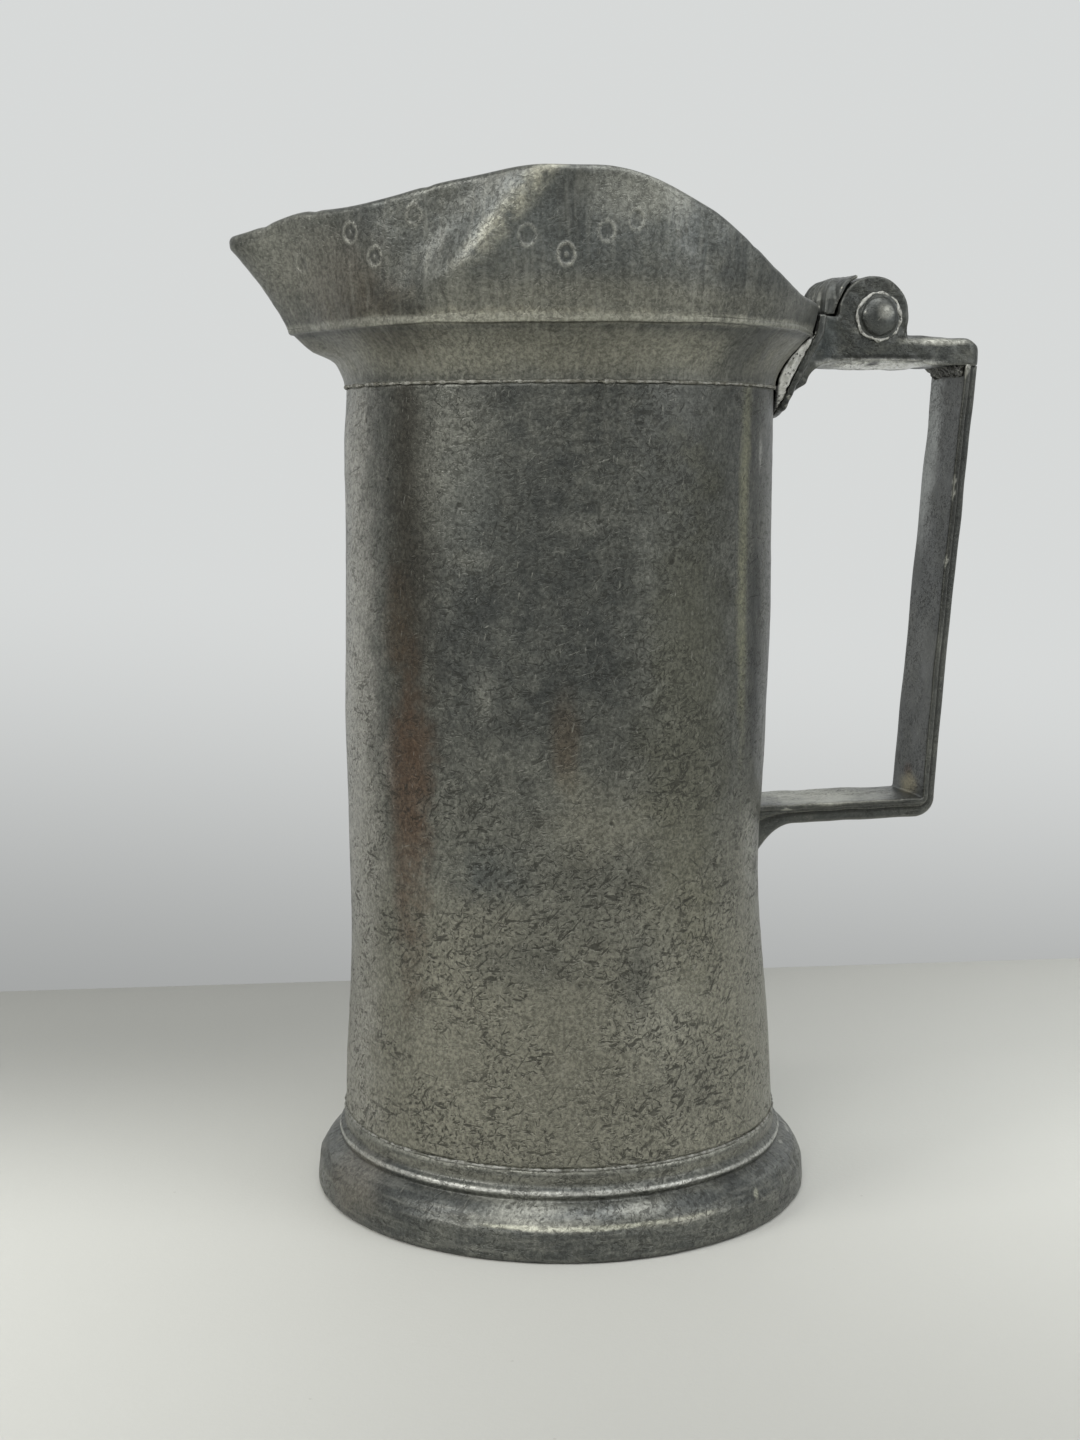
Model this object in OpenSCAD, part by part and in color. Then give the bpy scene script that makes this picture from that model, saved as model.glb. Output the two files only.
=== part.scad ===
// Pewter wine measure with a pouring lip, a square bracket handle and the leaf of a lost lid.
// Millimetres. The origin is on the drum's axis, on the plane that the foot rests on.
// +X points to the handle, -X to the spout, +Z up. The photographed side faces -Y.

/* [Drum] */
// Inside diameter of the drum
bore_d = 86; // [70:0.5:110]
// Inside height, from the floor to the collar seam
bore_h = 172; // [150:0.5:220]
// Wall of the drum at its top
drum_wall = 3; // [2:0.1:4]
// Radius that the drum gains at its base
drum_flare = 2; // [0.5:0.1:3]
// Height over which the drum gains it
drum_flare_h = 58; // [30:1:65]

/* [Foot] */
// Height of the floor above the table
floor_z = 4; // [3.5:0.1:6]
// Height of the foot, from the table to its solder seam
foot_h = 17.2; // [15:0.1:22]
// Radius that the skirt stands out past the foot's neck
foot_skirt = 6.9; // [5:0.1:10]
// Height of the skirt's own arris
foot_arris_z = 6.8; // [5:0.1:8]
// Radius that the skirt still gains below its arris
foot_band_out = 1.1; // [0.5:0.1:2]
// Round at the bottom edge
foot_edge_r = 0.9; // [0.5:0.1:1.5]
// Width of the flat rim that touches the table
foot_rim_w = 3.6; // [2:0.1:5]
// Height of the bead's middle
foot_bead_z = 12.4; // [11:0.1:13.5]
// Radius of the bead's round
foot_bead_r = 1.1; // [0.6:0.1:1.5]
// Thickness of the base plate
base_t = 2.2; // [1.5:0.1:3]
// Width of the ledge that the base plate seats against
base_ledge = 1.5; // [1:0.1:2]

/* [Bonnet] */
// Width by which the collar overhangs the drum
collar_step = 0.4; // [0.2:0.05:0.8]
// Height of the collar, from its seam to the arris
collar_h = 11.2; // [9:0.1:14]
// Radius that the collar gains up to the arris
collar_flare = 7.6; // [5:0.1:9]
// Height of the fine bead on the arris
arris_bead = 0.5; // [0.2:0.05:0.8]
// Radius that a tall lip gains above the arris
lip_lean = 4; // [2:0.1:6]
// Height at which the lip has gained half of that
lip_ease_h = 10; // [6:0.5:16]
// Wall of the lip at its edge
lip_wall = 2.7; // [2:0.1:3.2]
// Height of the lip above the arris at the back
lip_back_h = 6.6; // [6:0.1:9]
// Height of the lip above the arris at the two humps
lip_hump_h = 28.2; // [20:0.1:36]
// Height of the lip above the arris at the spout's tip
spout_tip_h = 19.6; // [14:0.1:24]
// Height that the lip gains just behind the tip
spout_shoulder_h = 3.2; // [1:0.1:6]
// Reach of the spout's tip past the round of the lip
spout_reach = 13.6; // [8:0.1:18]
// Reach of the spout's chin where it leaves the collar
spout_chin = 4.1; // [2:0.1:5]
// Depth by which the flanks are drawn in between the spout and the humps
flank_draw = 2.2; // [0:0.1:3]

/* [Handle] */
// Finger room between the drum and the grip under the upper arm
finger_top = 44; // [40:0.1:55]
// Finger room between the drum and the grip over the lower arm
finger_low = 36.4; // [30:0.1:45]
// Height of the clear space inside the handle
finger_h = 96.8; // [80:0.1:105]
// Width of the handle's inner flange
flange_w = 18.4; // [14:0.1:22]
// Thickness of the inner flange
flange_t = 1.2; // [1:0.1:2]
// Width of the rib outside the flange
rib_w = 14.6; // [10:0.1:14.8]
// Thickness of the rib at the top of the upright
rib_t = 2.7; // [2:0.1:4]
// Thickness of the rib along the lower arm
low_rib_t = 3.5; // [2:0.1:4]
// Radius of the lower outer corner
grip_corner_r = 3.4; // [2:0.1:4]
// Radius of the brace under the lower arm
brace_r = 6.4; // [4:0.1:9]
// Depth of the upper arm's underside below the arris
arm_drop = 6; // [5:0.1:7]
// Thickness of the upper arm at its middle line
arm_t = 7.1; // [6:0.1:8]
// Depth by which the arm's two upper edges are rounded down
arm_crown = 2.4; // [1:0.1:3]
// Depth by which the arm's top falls towards its outer end
arm_fall = 1.3; // [0.5:0.1:2]
// Radius of the arm's outer corners on plan
arm_corner_r = 3; // [1.5:0.1:4]
// Width by which the arm is set in from the hinge's cheeks on each side
arm_inset = 0.5; // [0.3:0.1:1]

/* [Saddle] */
// Half width of the saddle's wing round the collar
wing_half_w = 15; // [12:0.1:18]
// Depth of the wing's tip below the collar seam
wing_drop = 6.6; // [4:0.1:10]
// Thickness of the wing
wing_t = 1.8; // [1.5:0.1:3]
// Thickness of the solder bed at the wing's tip
bed_tip_t = 0.6; // [0.4:0.1:1]
// Thickness of the solder bed from the arris up
bed_top_t = 0.5; // [0.4:0.1:0.8]
// Depth by which the bed's outer face is bowed in towards the collar
bed_bow = 0.6; // [0:0.1:1]
// Width of the open crack between the solder and the collar
crack_w = 0.45; // [0.2:0.05:0.55]
// Radius of the sweep from the arm's underside down to the wing
sweep_r = 5; // [3:0.1:6]
// Height of the saddle's shoulder above the arris
shoulder_h = 4.4; // [4:0.1:5]

/* [Hinge] */
// Distance of the pin from the arris, outwards
pin_reach = 15.1; // [14:0.1:18]
// Height of the pin above the arris
pin_h = 4.3; // [4:0.1:5]
// Radius of the hinge pin
pin_r = 2; // [1.5:0.1:2.5]
// Radius of the two cheeks
cheek_r = 8.1; // [7.9:0.1:8.4]
// Distance of the cheeks' middle before the pin
cheek_dx = 1; // [0.5:0.1:1.3]
// Height of the cheeks' middle above the pin
cheek_dz = 0.6; // [0.3:0.1:0.9]
// Width over the two cheeks
lug_w = 19.4; // [18:0.1:24]
// Width of the slot between the cheeks
slot_w = 6.8; // [5:0.1:8]
// Clearance of the knuckle on each side of the slot
side_clear = 0.15; // [0.1:0.05:0.3]
// Radial clearance of the pin in the knuckle
pin_clear = 0.05; // [0.03:0.01:0.09]
// Clearance of the leaf over the cheeks, the shoulder and the lip
leaf_clear = 0.35; // [0.3:0.05:0.5]
// Radius of the knuckle between the cheeks
knuckle_r = 6.2; // [5.6:0.1:6.3]
// Angle that the leaf opens to
leaf_swing = 110; // [80:1:115]
// Distance of the shell's crest before the pin
shell_crest_dx = 4.9; // [4.5:0.1:5.2]
// Height of the shell's crest above the pin
shell_crest_h = 9.1; // [9.1:0.1:9.6]
// Number of flutes that fan out over the shell
flute_n = 9; // [5:2:11]
// Depth of a flute
flute_depth = 0.9; // [0.3:0.1:1.2]
// Thickness of the shell at its scalloped edge
shell_edge_t = 0.6; // [0.4:0.1:1]
// Radius of the button's dome on plan
button_r = 4.15; // [3.5:0.05:4.6]
// Height of the dome
button_h = 1.9; // [1:0.1:2.4]
// Radius of the flange under the dome
button_flange_r = 5.4; // [5:0.05:6]
// Thickness of that flange
button_flange_t = 0.5; // [0.3:0.05:0.8]

/* [Hidden] */
// Overrun of the cutting tools
over = 1;
// Height and width of a solder seam's fillet
seam_s = 0.35;
// Deep run of the solder in the handle's corner
grip_solder_s = 2.4;

bore_r = bore_d / 2;
drum_r = bore_r + drum_wall;
neck_r = drum_r + drum_flare;
seam_z = floor_z + bore_h;
collar_r = drum_r + collar_step;
arris_r = collar_r + collar_flare;
arris_z = seam_z + collar_h;
round_fn = 96;
fine_fn = 48;

// Share of the way from 0 to 1, with a soft start and a soft end
function ease(t) = let (s = max(0, min(1, t))) s * s * (3 - 2 * s);

// Outer radius of the drum at a height
function drum_r_at(z) = drum_r + drum_flare * pow(max(0, 1 - (z - foot_h) / drum_flare_h), 2);

// The drum's outer line, from the bottom up, closed on the bore
drum_steps = 8;
drum_line = [for (i = [0 : drum_steps]) let (z = foot_h + drum_flare_h * i / drum_steps)
             [drum_r_at(z), z]];

module drum_outside(top_z) {
    rotate_extrude($fn = round_fn)
        polygon(concat([[0, foot_h]], drum_line, [[drum_r, top_z], [0, top_z]]));
}

module drum() {
    color([0.42, 0.42, 0.38])
        difference() {
            drum_outside(seam_z);
            translate([0, 0, foot_h - over])
                cylinder(r = bore_r, h = seam_z - foot_h + 2 * over, $fn = round_fn);
        }
}

module base_plate() {
    color([0.38, 0.38, 0.35])
        translate([0, 0, floor_z - base_t])
            cylinder(r = bore_r + base_ledge, h = base_t, $fn = round_fn);
}

// The foot's outer line: a convex quarter from the bead to the arris, then a band and a round edge
foot_max_r = neck_r + foot_skirt;
foot_arris_r = foot_max_r - foot_band_out;
foot_cove_z = foot_bead_z - foot_bead_r;
foot_cove_r = neck_r + seam_s + foot_bead_r;
skirt_steps = 8;
skirt_power = 0.9;
skirt_line = [for (i = [0 : skirt_steps]) let (s = i / skirt_steps)
              [foot_cove_r + (foot_arris_r - foot_cove_r) * pow(sin(90 * s), skirt_power),
               foot_cove_z + (foot_arris_z - foot_cove_z) * s]];
edge_steps = 4;
foot_rim_r = foot_max_r - foot_edge_r;
edge_line = [for (i = [0 : edge_steps]) let (a = 90 * i / edge_steps)
             [foot_rim_r + foot_edge_r * cos(a), foot_edge_r * (1 - sin(a))]];
plate_r = bore_r + base_ledge;
plate_z = floor_z - base_t;

module foot() {
    color([0.36, 0.37, 0.34])
        union() {
            rotate_extrude($fn = round_fn)
                polygon(concat(
                    [[bore_r, foot_h], [neck_r + seam_s, foot_h], [neck_r + seam_s, foot_bead_z]],
                    skirt_line,
                    edge_line,
                    [[foot_rim_r - foot_rim_w, 0], [plate_r, plate_z], [plate_r, floor_z],
                     [bore_r, floor_z]]));
            translate([0, 0, foot_bead_z])
                rotate_extrude($fn = round_fn)
                    translate([neck_r + seam_s, 0])
                        circle(r = foot_bead_r, $fn = fine_fn);
        }
}

// Triangular fillet of solder that runs round at radius r, on the side of z that up gives
module seam_ring(r, z, up) {
    rotate_extrude($fn = round_fn)
        polygon([[r, z], [r + seam_s, z], [r, z + up * seam_s]]);
}

module foot_seam() {
    color([0.62, 0.62, 0.58])
        seam_ring(neck_r, foot_h, 1);
}

module collar_seam() {
    color([0.62, 0.62, 0.58])
        seam_ring(drum_r, seam_z, -1);
}

// Azimuths run from the spout, at -X, round to the handle. The bonnet is the same on both sides.
az_steps = 80;
shoulder_az = 18;
rise_az = 25;
hump_az = 76;
fall_az = 84;
back_az = 146;
flank_az = 48;
flank_spread = 22;
spout_spread = 14;
chin_spread = 7.5;
spout_power = 1.4;
// Share of the lip's height at which the chin has its full reach, which leaves the tip blunt
spout_full_share = 0.86;
chin_power = 1.45;

function fold(a) = a > 180 ? 360 - a : a;

function rim_h(a) =
    a < hump_az
    ? spout_tip_h + spout_shoulder_h * ease(a / shoulder_az)
      + (lip_hump_h - spout_tip_h - spout_shoulder_h) * ease((a - rise_az) / (hump_az - rise_az))
    : lip_hump_h - (lip_hump_h - lip_back_h) * ease((a - fall_az) / (back_az - fall_az));

function beak(a, spread) = exp(-pow(a / spread, spout_power));

// Radius of the round lip at height h above the arris, away from the spout
function lip_r(h) = arris_r + lip_lean * h / (h + lip_ease_h);

// Radius of the collar at share t of its height
collar_power = 1.75;
chin_start = 0.42;
chin_run = 0.28;
function collar_r_at(t) = collar_r + collar_flare * pow(t, collar_power);
function collar_point(a, t) =
    [collar_r_at(t) + spout_chin * ease((t - chin_start) / chin_run) * beak(a, chin_spread),
     seam_z + collar_h * t];

// Reach of the spout's middle line past the round lip at share v of the lip's height
function chin_reach(v) =
    spout_chin + (spout_reach - spout_chin) * pow(min(1, v / spout_full_share), chin_power);

// A point of the lip's outer face at azimuth a and share v of the lip's height there
function lip_point(a, v) =
    let (h = rim_h(a) * v, spread = chin_spread + (spout_spread - chin_spread) * v)
    [lip_r(h) + chin_reach(v) * beak(a, spread)
     - flank_draw * v * exp(-pow((a - flank_az) / flank_spread, 2)),
     arris_z + h];

function inward(p, wall) = [p[0] - wall, p[1]];
collar_shares = [0, 0.18, 0.36, 0.5, 0.6, 0.7, 0.8, 0.9];
lip_shares = [0.16, 0.34, 0.52, 0.7, 0.86];
collar_wall = drum_wall + collar_step;
function wall_at(v) = collar_wall + (lip_wall - collar_wall) * v;
edge_share = 0.4;
edge_drop = lip_wall * edge_share;

// The bonnet's closed section at azimuth a: up the outer face, over the edge and down the bore
function bonnet_section(a) =
    let (top = lip_point(a, 1), bead = collar_point(a, 1))
    concat(
        [for (t = collar_shares) collar_point(a, t)],
        [[bead[0], arris_z - arris_bead], [bead[0] + arris_bead, arris_z],
         [bead[0] + arris_bead / 3, arris_z + arris_bead]],
        [for (v = lip_shares) lip_point(a, v)],
        [[top[0], top[1] - edge_drop], [top[0] - lip_wall / 4, top[1]],
         [top[0] - lip_wall * 3 / 4, top[1]], [top[0] - lip_wall, top[1] - edge_drop]],
        [for (i = [len(lip_shares) - 1 : -1 : 0])
         inward(lip_point(a, lip_shares[i]), wall_at(lip_shares[i]))],
        [for (i = [len(collar_shares) - 1 : -1 : 0])
         inward(collar_point(a, collar_shares[i]), collar_wall)]);

module bonnet() {
    sections = [for (i = [0 : az_steps - 1]) bonnet_section(fold(360 * i / az_steps))];
    n = len(sections[0]);
    points = [for (i = [0 : az_steps - 1]) let (a = 180 + 360 * i / az_steps) for (p = sections[i])
              [p[0] * cos(a), p[0] * sin(a), p[1]]];
    faces = [for (i = [0 : az_steps - 1]) for (k = [0 : n - 1])
             let (j = (i + 1) % az_steps, m = (k + 1) % n)
             for (f = [[i * n + k, i * n + m, j * n + m], [i * n + k, j * n + m, j * n + k]]) f];
    color([0.4, 0.41, 0.37])
        polyhedron(points = points, faces = faces);
}

// The line of the drum and the bonnet at the back, grown outwards by g, from the wing's tip up
wing_tip_z = seam_z - wing_drop;
shoulder_z = arris_z + shoulder_h;
back_shares = [for (v = lip_shares) if (lip_back_h * v < shoulder_h) v];
function back_line(g) = concat(
    [[drum_r + g, wing_tip_z - over], [drum_r + g, seam_z]],
    [for (t = collar_shares) [collar_r_at(t) + g, seam_z + collar_h * t]],
    [[arris_r + g, arris_z - arris_bead], [arris_r + arris_bead + g, arris_z],
     [arris_r + arris_bead / 3 + g, arris_z + arris_bead]],
    [for (v = back_shares) [lip_r(lip_back_h * v) + g, arris_z + lip_back_h * v]],
    [[lip_r(shoulder_h) + g, shoulder_z]]);

// The solder bed's outer line, grown outwards by g: bowed up to the arris, then close to the lip
bed_steps = 8;
bed_low_r = drum_r + bed_tip_t;
bed_high_r = arris_r + arris_bead + bed_top_t;
function bed_line(g) = concat(
    [[bed_low_r + g, wing_tip_z - over]],
    [for (i = [0 : bed_steps]) let (s = i / bed_steps)
     [bed_low_r + (bed_high_r - bed_low_r) * s - bed_bow * sin(180 * s) + g,
      wing_tip_z + (arris_z - wing_tip_z) * s]],
    [[lip_r(shoulder_h) + bed_top_t + g, shoulder_z]]);

// A revolved skin between two lines that run upwards
module skin(low, high) {
    rotate_extrude($fn = round_fn)
        polygon(concat(low, [for (i = [len(high) - 1 : -1 : 0]) high[i]]));
}

// Shield outline of the wing, seen along X, drawn in by inset
wing_side_share = 0.45;
wing_back_share = 0.8;
wing_round = 24;
module shield(inset) {
    half = wing_half_w - inset;
    tip_z = wing_tip_z + inset;
    side_z = tip_z + (shoulder_z - tip_z) * wing_side_share;
    translate([drum_r * wing_back_share, 0, 0])
        rotate([90, 0, 90])
            linear_extrude(height = arris_r)
                polygon(concat(
                    [[half, shoulder_z + over], [-half, shoulder_z + over]],
                    [for (i = [0 : wing_round]) let (a = 180 + 180 * i / wing_round)
                     [half * cos(a), side_z + (side_z - tip_z) * sin(a)]]));
}

pin_x = arris_r + pin_reach;
pin_z = arris_z + pin_h;
arm_low_z = arris_z - arm_drop;
arm_top_z = arm_low_z + arm_t;
grip_in_top_x = drum_r + finger_top;
grip_in_low_x = drum_r + finger_low;
grip_t = flange_t + rib_t;
arm_end_x = grip_in_top_x + grip_t;
low_grip_t = flange_t + low_rib_t;
arm_start_x = arris_r - collar_flare / 2;
sweep_x = arris_r - wing_t / 2;
sweep_angle = 80;
arm_w = lug_w - 2 * arm_inset;

module along_y(width) {
    translate([0, width / 2, 0])
        rotate([90, 0, 0])
            linear_extrude(height = width)
                children();
}

// Everything inside the saddle's bed, which the arm's root is cut back to
module inside_bed() {
    rotate_extrude($fn = round_fn)
        polygon(concat([[0, wing_tip_z - over]], bed_line(0), [[0, shoulder_z]]));
}

// The arm's side outline, with the sweep under its root and the fall of its top
arm_round = 8;
module arm_side() {
    polygon(concat(
        [[arm_start_x, arm_low_z - arm_drop], [arm_start_x, arm_top_z], [lug_end_x, arm_top_z],
         [arm_end_x - arm_corner_r, arm_top_z - arm_fall],
         [arm_end_x - arm_fall / 2, arm_top_z - 2 * arm_fall],
         [arm_end_x, arm_top_z - 3 * arm_fall], [arm_end_x, arm_low_z]],
        [for (i = [0 : arm_round]) let (a = 90 + sweep_angle * i / arm_round)
         [sweep_x + sweep_r + sweep_r * cos(a), arm_low_z - sweep_r + sweep_r * sin(a)]]));
}

// Its section, flat below and crowned above
module arm_section() {
    half = arm_w / 2;
    low_z = arm_low_z - arm_drop - over;
    crown_z = arm_top_z - arm_crown;
    polygon(concat(
        [[-half, low_z], [half, low_z], [half, crown_z]],
        [for (i = [1 : arm_round - 1]) let (a = 180 * i / arm_round)
         [half * cos(a), crown_z + arm_crown * sin(a)]],
        [[-half, crown_z]]));
}

// Its plan, with round outer corners
module arm_plan() {
    half = arm_w / 2;
    corner_y = half - arm_corner_r;
    corner_x = arm_end_x - arm_corner_r;
    polygon(concat(
        [[arm_start_x, half], [arm_start_x, -half]],
        [for (i = [0 : arm_round]) let (a = -90 + 90 * i / arm_round)
         [corner_x + arm_corner_r * cos(a), arm_corner_r * sin(a) - corner_y]],
        [for (i = [0 : arm_round]) let (a = 90 * i / arm_round)
         [corner_x + arm_corner_r * cos(a), corner_y + arm_corner_r * sin(a)]]));
}

module arm_bar() {
    intersection() {
        along_y(lug_w)
            arm_side();
        translate([arm_start_x - over, 0, 0])
            rotate([90, 0, 90])
                linear_extrude(height = arm_end_x - arm_start_x + 2 * over)
                    arm_section();
        translate([0, 0, arm_low_z - arm_drop - over])
            linear_extrude(height = arm_drop + arm_t + 2 * over)
                arm_plan();
    }
}

// Reach of the cheeks from the pin, at their front and top
cheek_reach = cheek_r + sqrt(cheek_dx * cheek_dx + cheek_dz * cheek_dz);
lug_end_x = pin_x - cheek_dx + cheek_r;

module pin_bar(r, width) {
    translate([pin_x, width / 2, pin_z])
        rotate([90, 0, 0])
            cylinder(r = r, h = width, $fn = fine_fn);
}

// The cheeks, whose middle lies before and above the pin, and the lug that carries them
module lug() {
    translate([-cheek_dx, 0, cheek_dz])
        pin_bar(cheek_r, lug_w);
    along_y(arm_w)
        polygon([[arm_start_x, arm_low_z], [arm_start_x, shoulder_z], [pin_x - cheek_r / 2, shoulder_z],
                 [pin_x, pin_z], [lug_end_x, pin_z], [lug_end_x, arm_low_z]]);
}

// The slot that the knuckle turns in, closed low behind by a web that stops the leaf
module knuckle_slot() {
    pin_bar(knuckle_r + leaf_clear, slot_w);
    translate([pin_x - cheek_reach - over, -slot_w / 2, pin_z + leaf_clear])
        cube([2 * (cheek_reach + over), slot_w, cheek_reach + over]);
}

module upper_arm() {
    color([0.36, 0.37, 0.35])
        difference() {
            union() {
                arm_bar();
                lug();
                intersection() {
                    skin(bed_line(0), bed_line(wing_t));
                    shield(0);
                }
            }
            inside_bed();
            knuckle_slot();
            pin_bar(pin_r, lug_w + over);
        }
}

// Share of the wing's half width at which the crack ends
crack_share = 0.4;
module saddle_solder() {
    color([0.75, 0.75, 0.7])
        difference() {
            intersection() {
                skin(back_line(0), bed_line(0));
                shield(seam_s);
            }
            intersection() {
                skin(back_line(-over), back_line(crack_w));
                translate([0, -wing_half_w - over, wing_tip_z - over])
                    cube([arris_r + pin_reach, wing_half_w * (1 - crack_share) + over,
                          shoulder_z - wing_tip_z + 2 * over]);
            }
            seam_ring(drum_r, seam_z, -1);
        }
}

grip_top_z = arm_low_z;
grip_low_z = arm_low_z - finger_h;
// The grip's inner face at a height
function grip_in_x(z) = grip_in_low_x + (grip_in_top_x - grip_in_low_x) * (z - grip_low_z) / finger_h;
root_share = 0.9;
arm_root_x = drum_r * root_share;
corner_steps = 6;
brace_steps = 8;

module grip() {
    out_z = grip_low_z - low_grip_t;
    corner_x = grip_in_x(out_z) + low_grip_t;
    color([0.34, 0.35, 0.33])
        difference() {
            union() {
                along_y(flange_w)
                    polygon([[grip_in_top_x, grip_top_z], [grip_in_low_x, grip_low_z],
                             [arm_root_x, grip_low_z],
                             [arm_root_x, grip_low_z - flange_t],
                             [grip_in_x(grip_low_z - flange_t) + flange_t, grip_low_z - flange_t],
                             [grip_in_top_x + flange_t, grip_top_z]]);
                along_y(rib_w)
                    polygon(concat(
                        [[grip_in_top_x + flange_t / 2, grip_top_z],
                         [grip_in_low_x + flange_t / 2, grip_low_z - flange_t / 2],
                         [arm_root_x, grip_low_z - flange_t / 2], [arm_root_x, out_z - brace_r]],
                        [for (i = [0 : brace_steps]) let (a = 180 - 90 * i / brace_steps)
                         [drum_r_at(out_z) + brace_r + brace_r * cos(a),
                          out_z - brace_r + brace_r * sin(a)]],
                        [for (i = [0 : corner_steps]) let (a = -90 + 90 * i / corner_steps)
                         [corner_x - grip_corner_r + grip_corner_r * cos(a),
                          out_z + grip_corner_r + grip_corner_r * sin(a)]],
                        [[grip_in_top_x + grip_t, grip_top_z]]));
            }
            drum_outside(seam_z);
        }
}

module grip_solder() {
    color([0.6, 0.6, 0.56])
        along_y(flange_w - grip_solder_s)
            polygon([[grip_in_x(grip_top_z), grip_top_z],
                     [grip_in_x(grip_top_z - grip_solder_s), grip_top_z - grip_solder_s],
                     [grip_in_x(grip_top_z) - grip_solder_s, grip_top_z]]);
}

// The shell fans out from its crest, over the cheeks, to an edge clear of the lip and the shoulder
shell_base_z = shoulder_z + leaf_clear;
crest_x = pin_x - shell_crest_dx;
crest_z = pin_z + shell_crest_h;
shell_run = crest_x - lip_r(lip_back_h) - leaf_clear;
cheek_clear_r = cheek_reach + leaf_clear;
// Direction of the neck's upper face from the pin, which meets the web when the leaf is open
neck_angle = leaf_swing + asin(2 * leaf_clear / cheek_r);
neck_front_angle = 143;
fan_steps = 6 * flute_n;
reach_steps = 7;
fan_power = 4;
dome_power = 2.5;

// Reach of the shell's edge at fan angle a, which is 0 to the front and 90 to the sides
function fan_reach(a) =
    pow(pow(abs(cos(a)) / shell_run, fan_power) + pow(abs(sin(a)) / (lug_w / 2), fan_power),
        -1 / fan_power);

// Depth of the flutes at fan angle a, from 0 on a ridge to 1 in a flute
function flute_at(a) = (1 + cos(flute_n * 2 * a)) / 2;

// Height of the shell's underside: a flat over the shoulder, then round the cheeks
function under_z(x) =
    let (d = min(cheek_clear_r, pin_x - x))
    max(shell_base_z, pin_z + sqrt(cheek_clear_r * cheek_clear_r - d * d));

// Plan point of the shell at fan angle a and share s of the reach
function fan_xy(a, s) =
    let (d = fan_reach(a) * s - flute_depth * flute_at(a) * s * s)
    [crest_x - d * cos(a), d * sin(a)];
function shell_under(a, s) = let (p = fan_xy(a, s)) [p[0], p[1], under_z(p[0])];
function shell_over(a, s) =
    let (p = fan_xy(a, s), edge_z = under_z(fan_xy(a, 1)[0]) + shell_edge_t,
         dome = pow(1 - pow(s, dome_power), 1 / dome_power))
    [p[0], p[1], max(edge_z + (crest_z - edge_z) * dome - flute_depth * flute_at(a) * s * (1 - s),
                     under_z(p[0]) + shell_edge_t)];

// The fan as one closed skin: an upper and a lower crest point, then the two grids
module shell() {
    rows = fan_steps + 1;
    angles = [for (i = [0 : fan_steps]) -90 + 180 * i / fan_steps];
    shares = [for (k = [1 : reach_steps]) sin(90 * k / reach_steps)];
    points = concat(
        [[crest_x, 0, crest_z], [crest_x, 0, under_z(crest_x)]],
        [for (s = shares) for (a = angles) shell_over(a, s)],
        [for (s = shares) for (a = angles) shell_under(a, s)]);
    low = 2 + reach_steps * rows;
    edge = (reach_steps - 1) * rows;
    faces = concat(
        [for (i = [0 : fan_steps - 1]) [0, 2 + i, 2 + i + 1]],
        [for (i = [0 : fan_steps - 1]) [1, low + i + 1, low + i]],
        [for (k = [0 : reach_steps - 2]) for (i = [0 : fan_steps - 1])
         let (p = 2 + k * rows + i) for (f = [[p, p + rows + 1, p + 1], [p, p + rows, p + rows + 1]]) f],
        [for (k = [0 : reach_steps - 2]) for (i = [0 : fan_steps - 1])
         let (p = low + k * rows + i) for (f = [[p, p + 1, p + rows + 1], [p, p + rows + 1, p + rows]]) f],
        [for (i = [0 : fan_steps - 1]) let (p = 2 + edge + i, q = low + edge + i)
         for (f = [[p, q + 1, p + 1], [p, q, q + 1]]) f],
        [[0, low, 2], [0, 1, low], [0, 2 + fan_steps, low + fan_steps], [0, low + fan_steps, 1]],
        [for (k = [0 : reach_steps - 2]) let (p = 2 + k * rows, q = low + k * rows)
         for (f = [[p, q + rows, p + rows], [p, q, q + rows]]) f],
        [for (k = [0 : reach_steps - 2]) let (p = 2 + k * rows + fan_steps, q = low + k * rows + fan_steps)
         for (f = [[p, p + rows, q + rows], [p, q + rows, q]]) f]);
    polyhedron(points = points, faces = faces);
}

// The neck joins the knuckle to the shell through the slot
module neck() {
    reach = cheek_clear_r + over;
    along_y(slot_w - 2 * side_clear)
        polygon([[pin_x, pin_z],
                 [pin_x + cheek_clear_r * cos(neck_angle), pin_z + cheek_clear_r * sin(neck_angle)],
                 [pin_x + reach * cos(neck_front_angle), pin_z + reach * sin(neck_front_angle)],
                 [pin_x - reach, shell_base_z],
                 [pin_x - pin_r, shell_base_z]]);
}

module hinge_leaf() {
    color([0.45, 0.46, 0.42])
        difference() {
            union() {
                pin_bar(knuckle_r, slot_w - 2 * side_clear);
                neck();
                shell();
            }
            pin_bar(pin_r + pin_clear, lug_w + over);
        }
}

module hinge_pin() {
    color([0.5, 0.5, 0.48])
        pin_bar(pin_r, lug_w);
}

// A button against the cheek's outer face, with its dome towards side, 1 or -1
module pin_button(side) {
    dome_r = (button_r * button_r + button_h * button_h) / (2 * button_h);
    color([0.55, 0.55, 0.52])
        translate([pin_x, side * lug_w / 2, pin_z])
            rotate([-90 * side, 0, 0])
                union() {
                    cylinder(r = button_flange_r, h = button_flange_t, $fn = fine_fn);
                    intersection() {
                        translate([0, 0, button_flange_t + button_h - dome_r])
                            sphere(r = dome_r, $fn = fine_fn);
                        cylinder(r = button_r + over, h = button_flange_t + button_h + over, $fn = fine_fn);
                    }
                }
}

module pin_button_near() {
    pin_button(-1);
}

module pin_button_far() {
    pin_button(1);
}

drum();
base_plate();
foot();
foot_seam();
collar_seam();
bonnet();
upper_arm();
saddle_solder();
grip();
grip_solder();
hinge_leaf();
hinge_pin();
pin_button_near();
pin_button_far();
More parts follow.
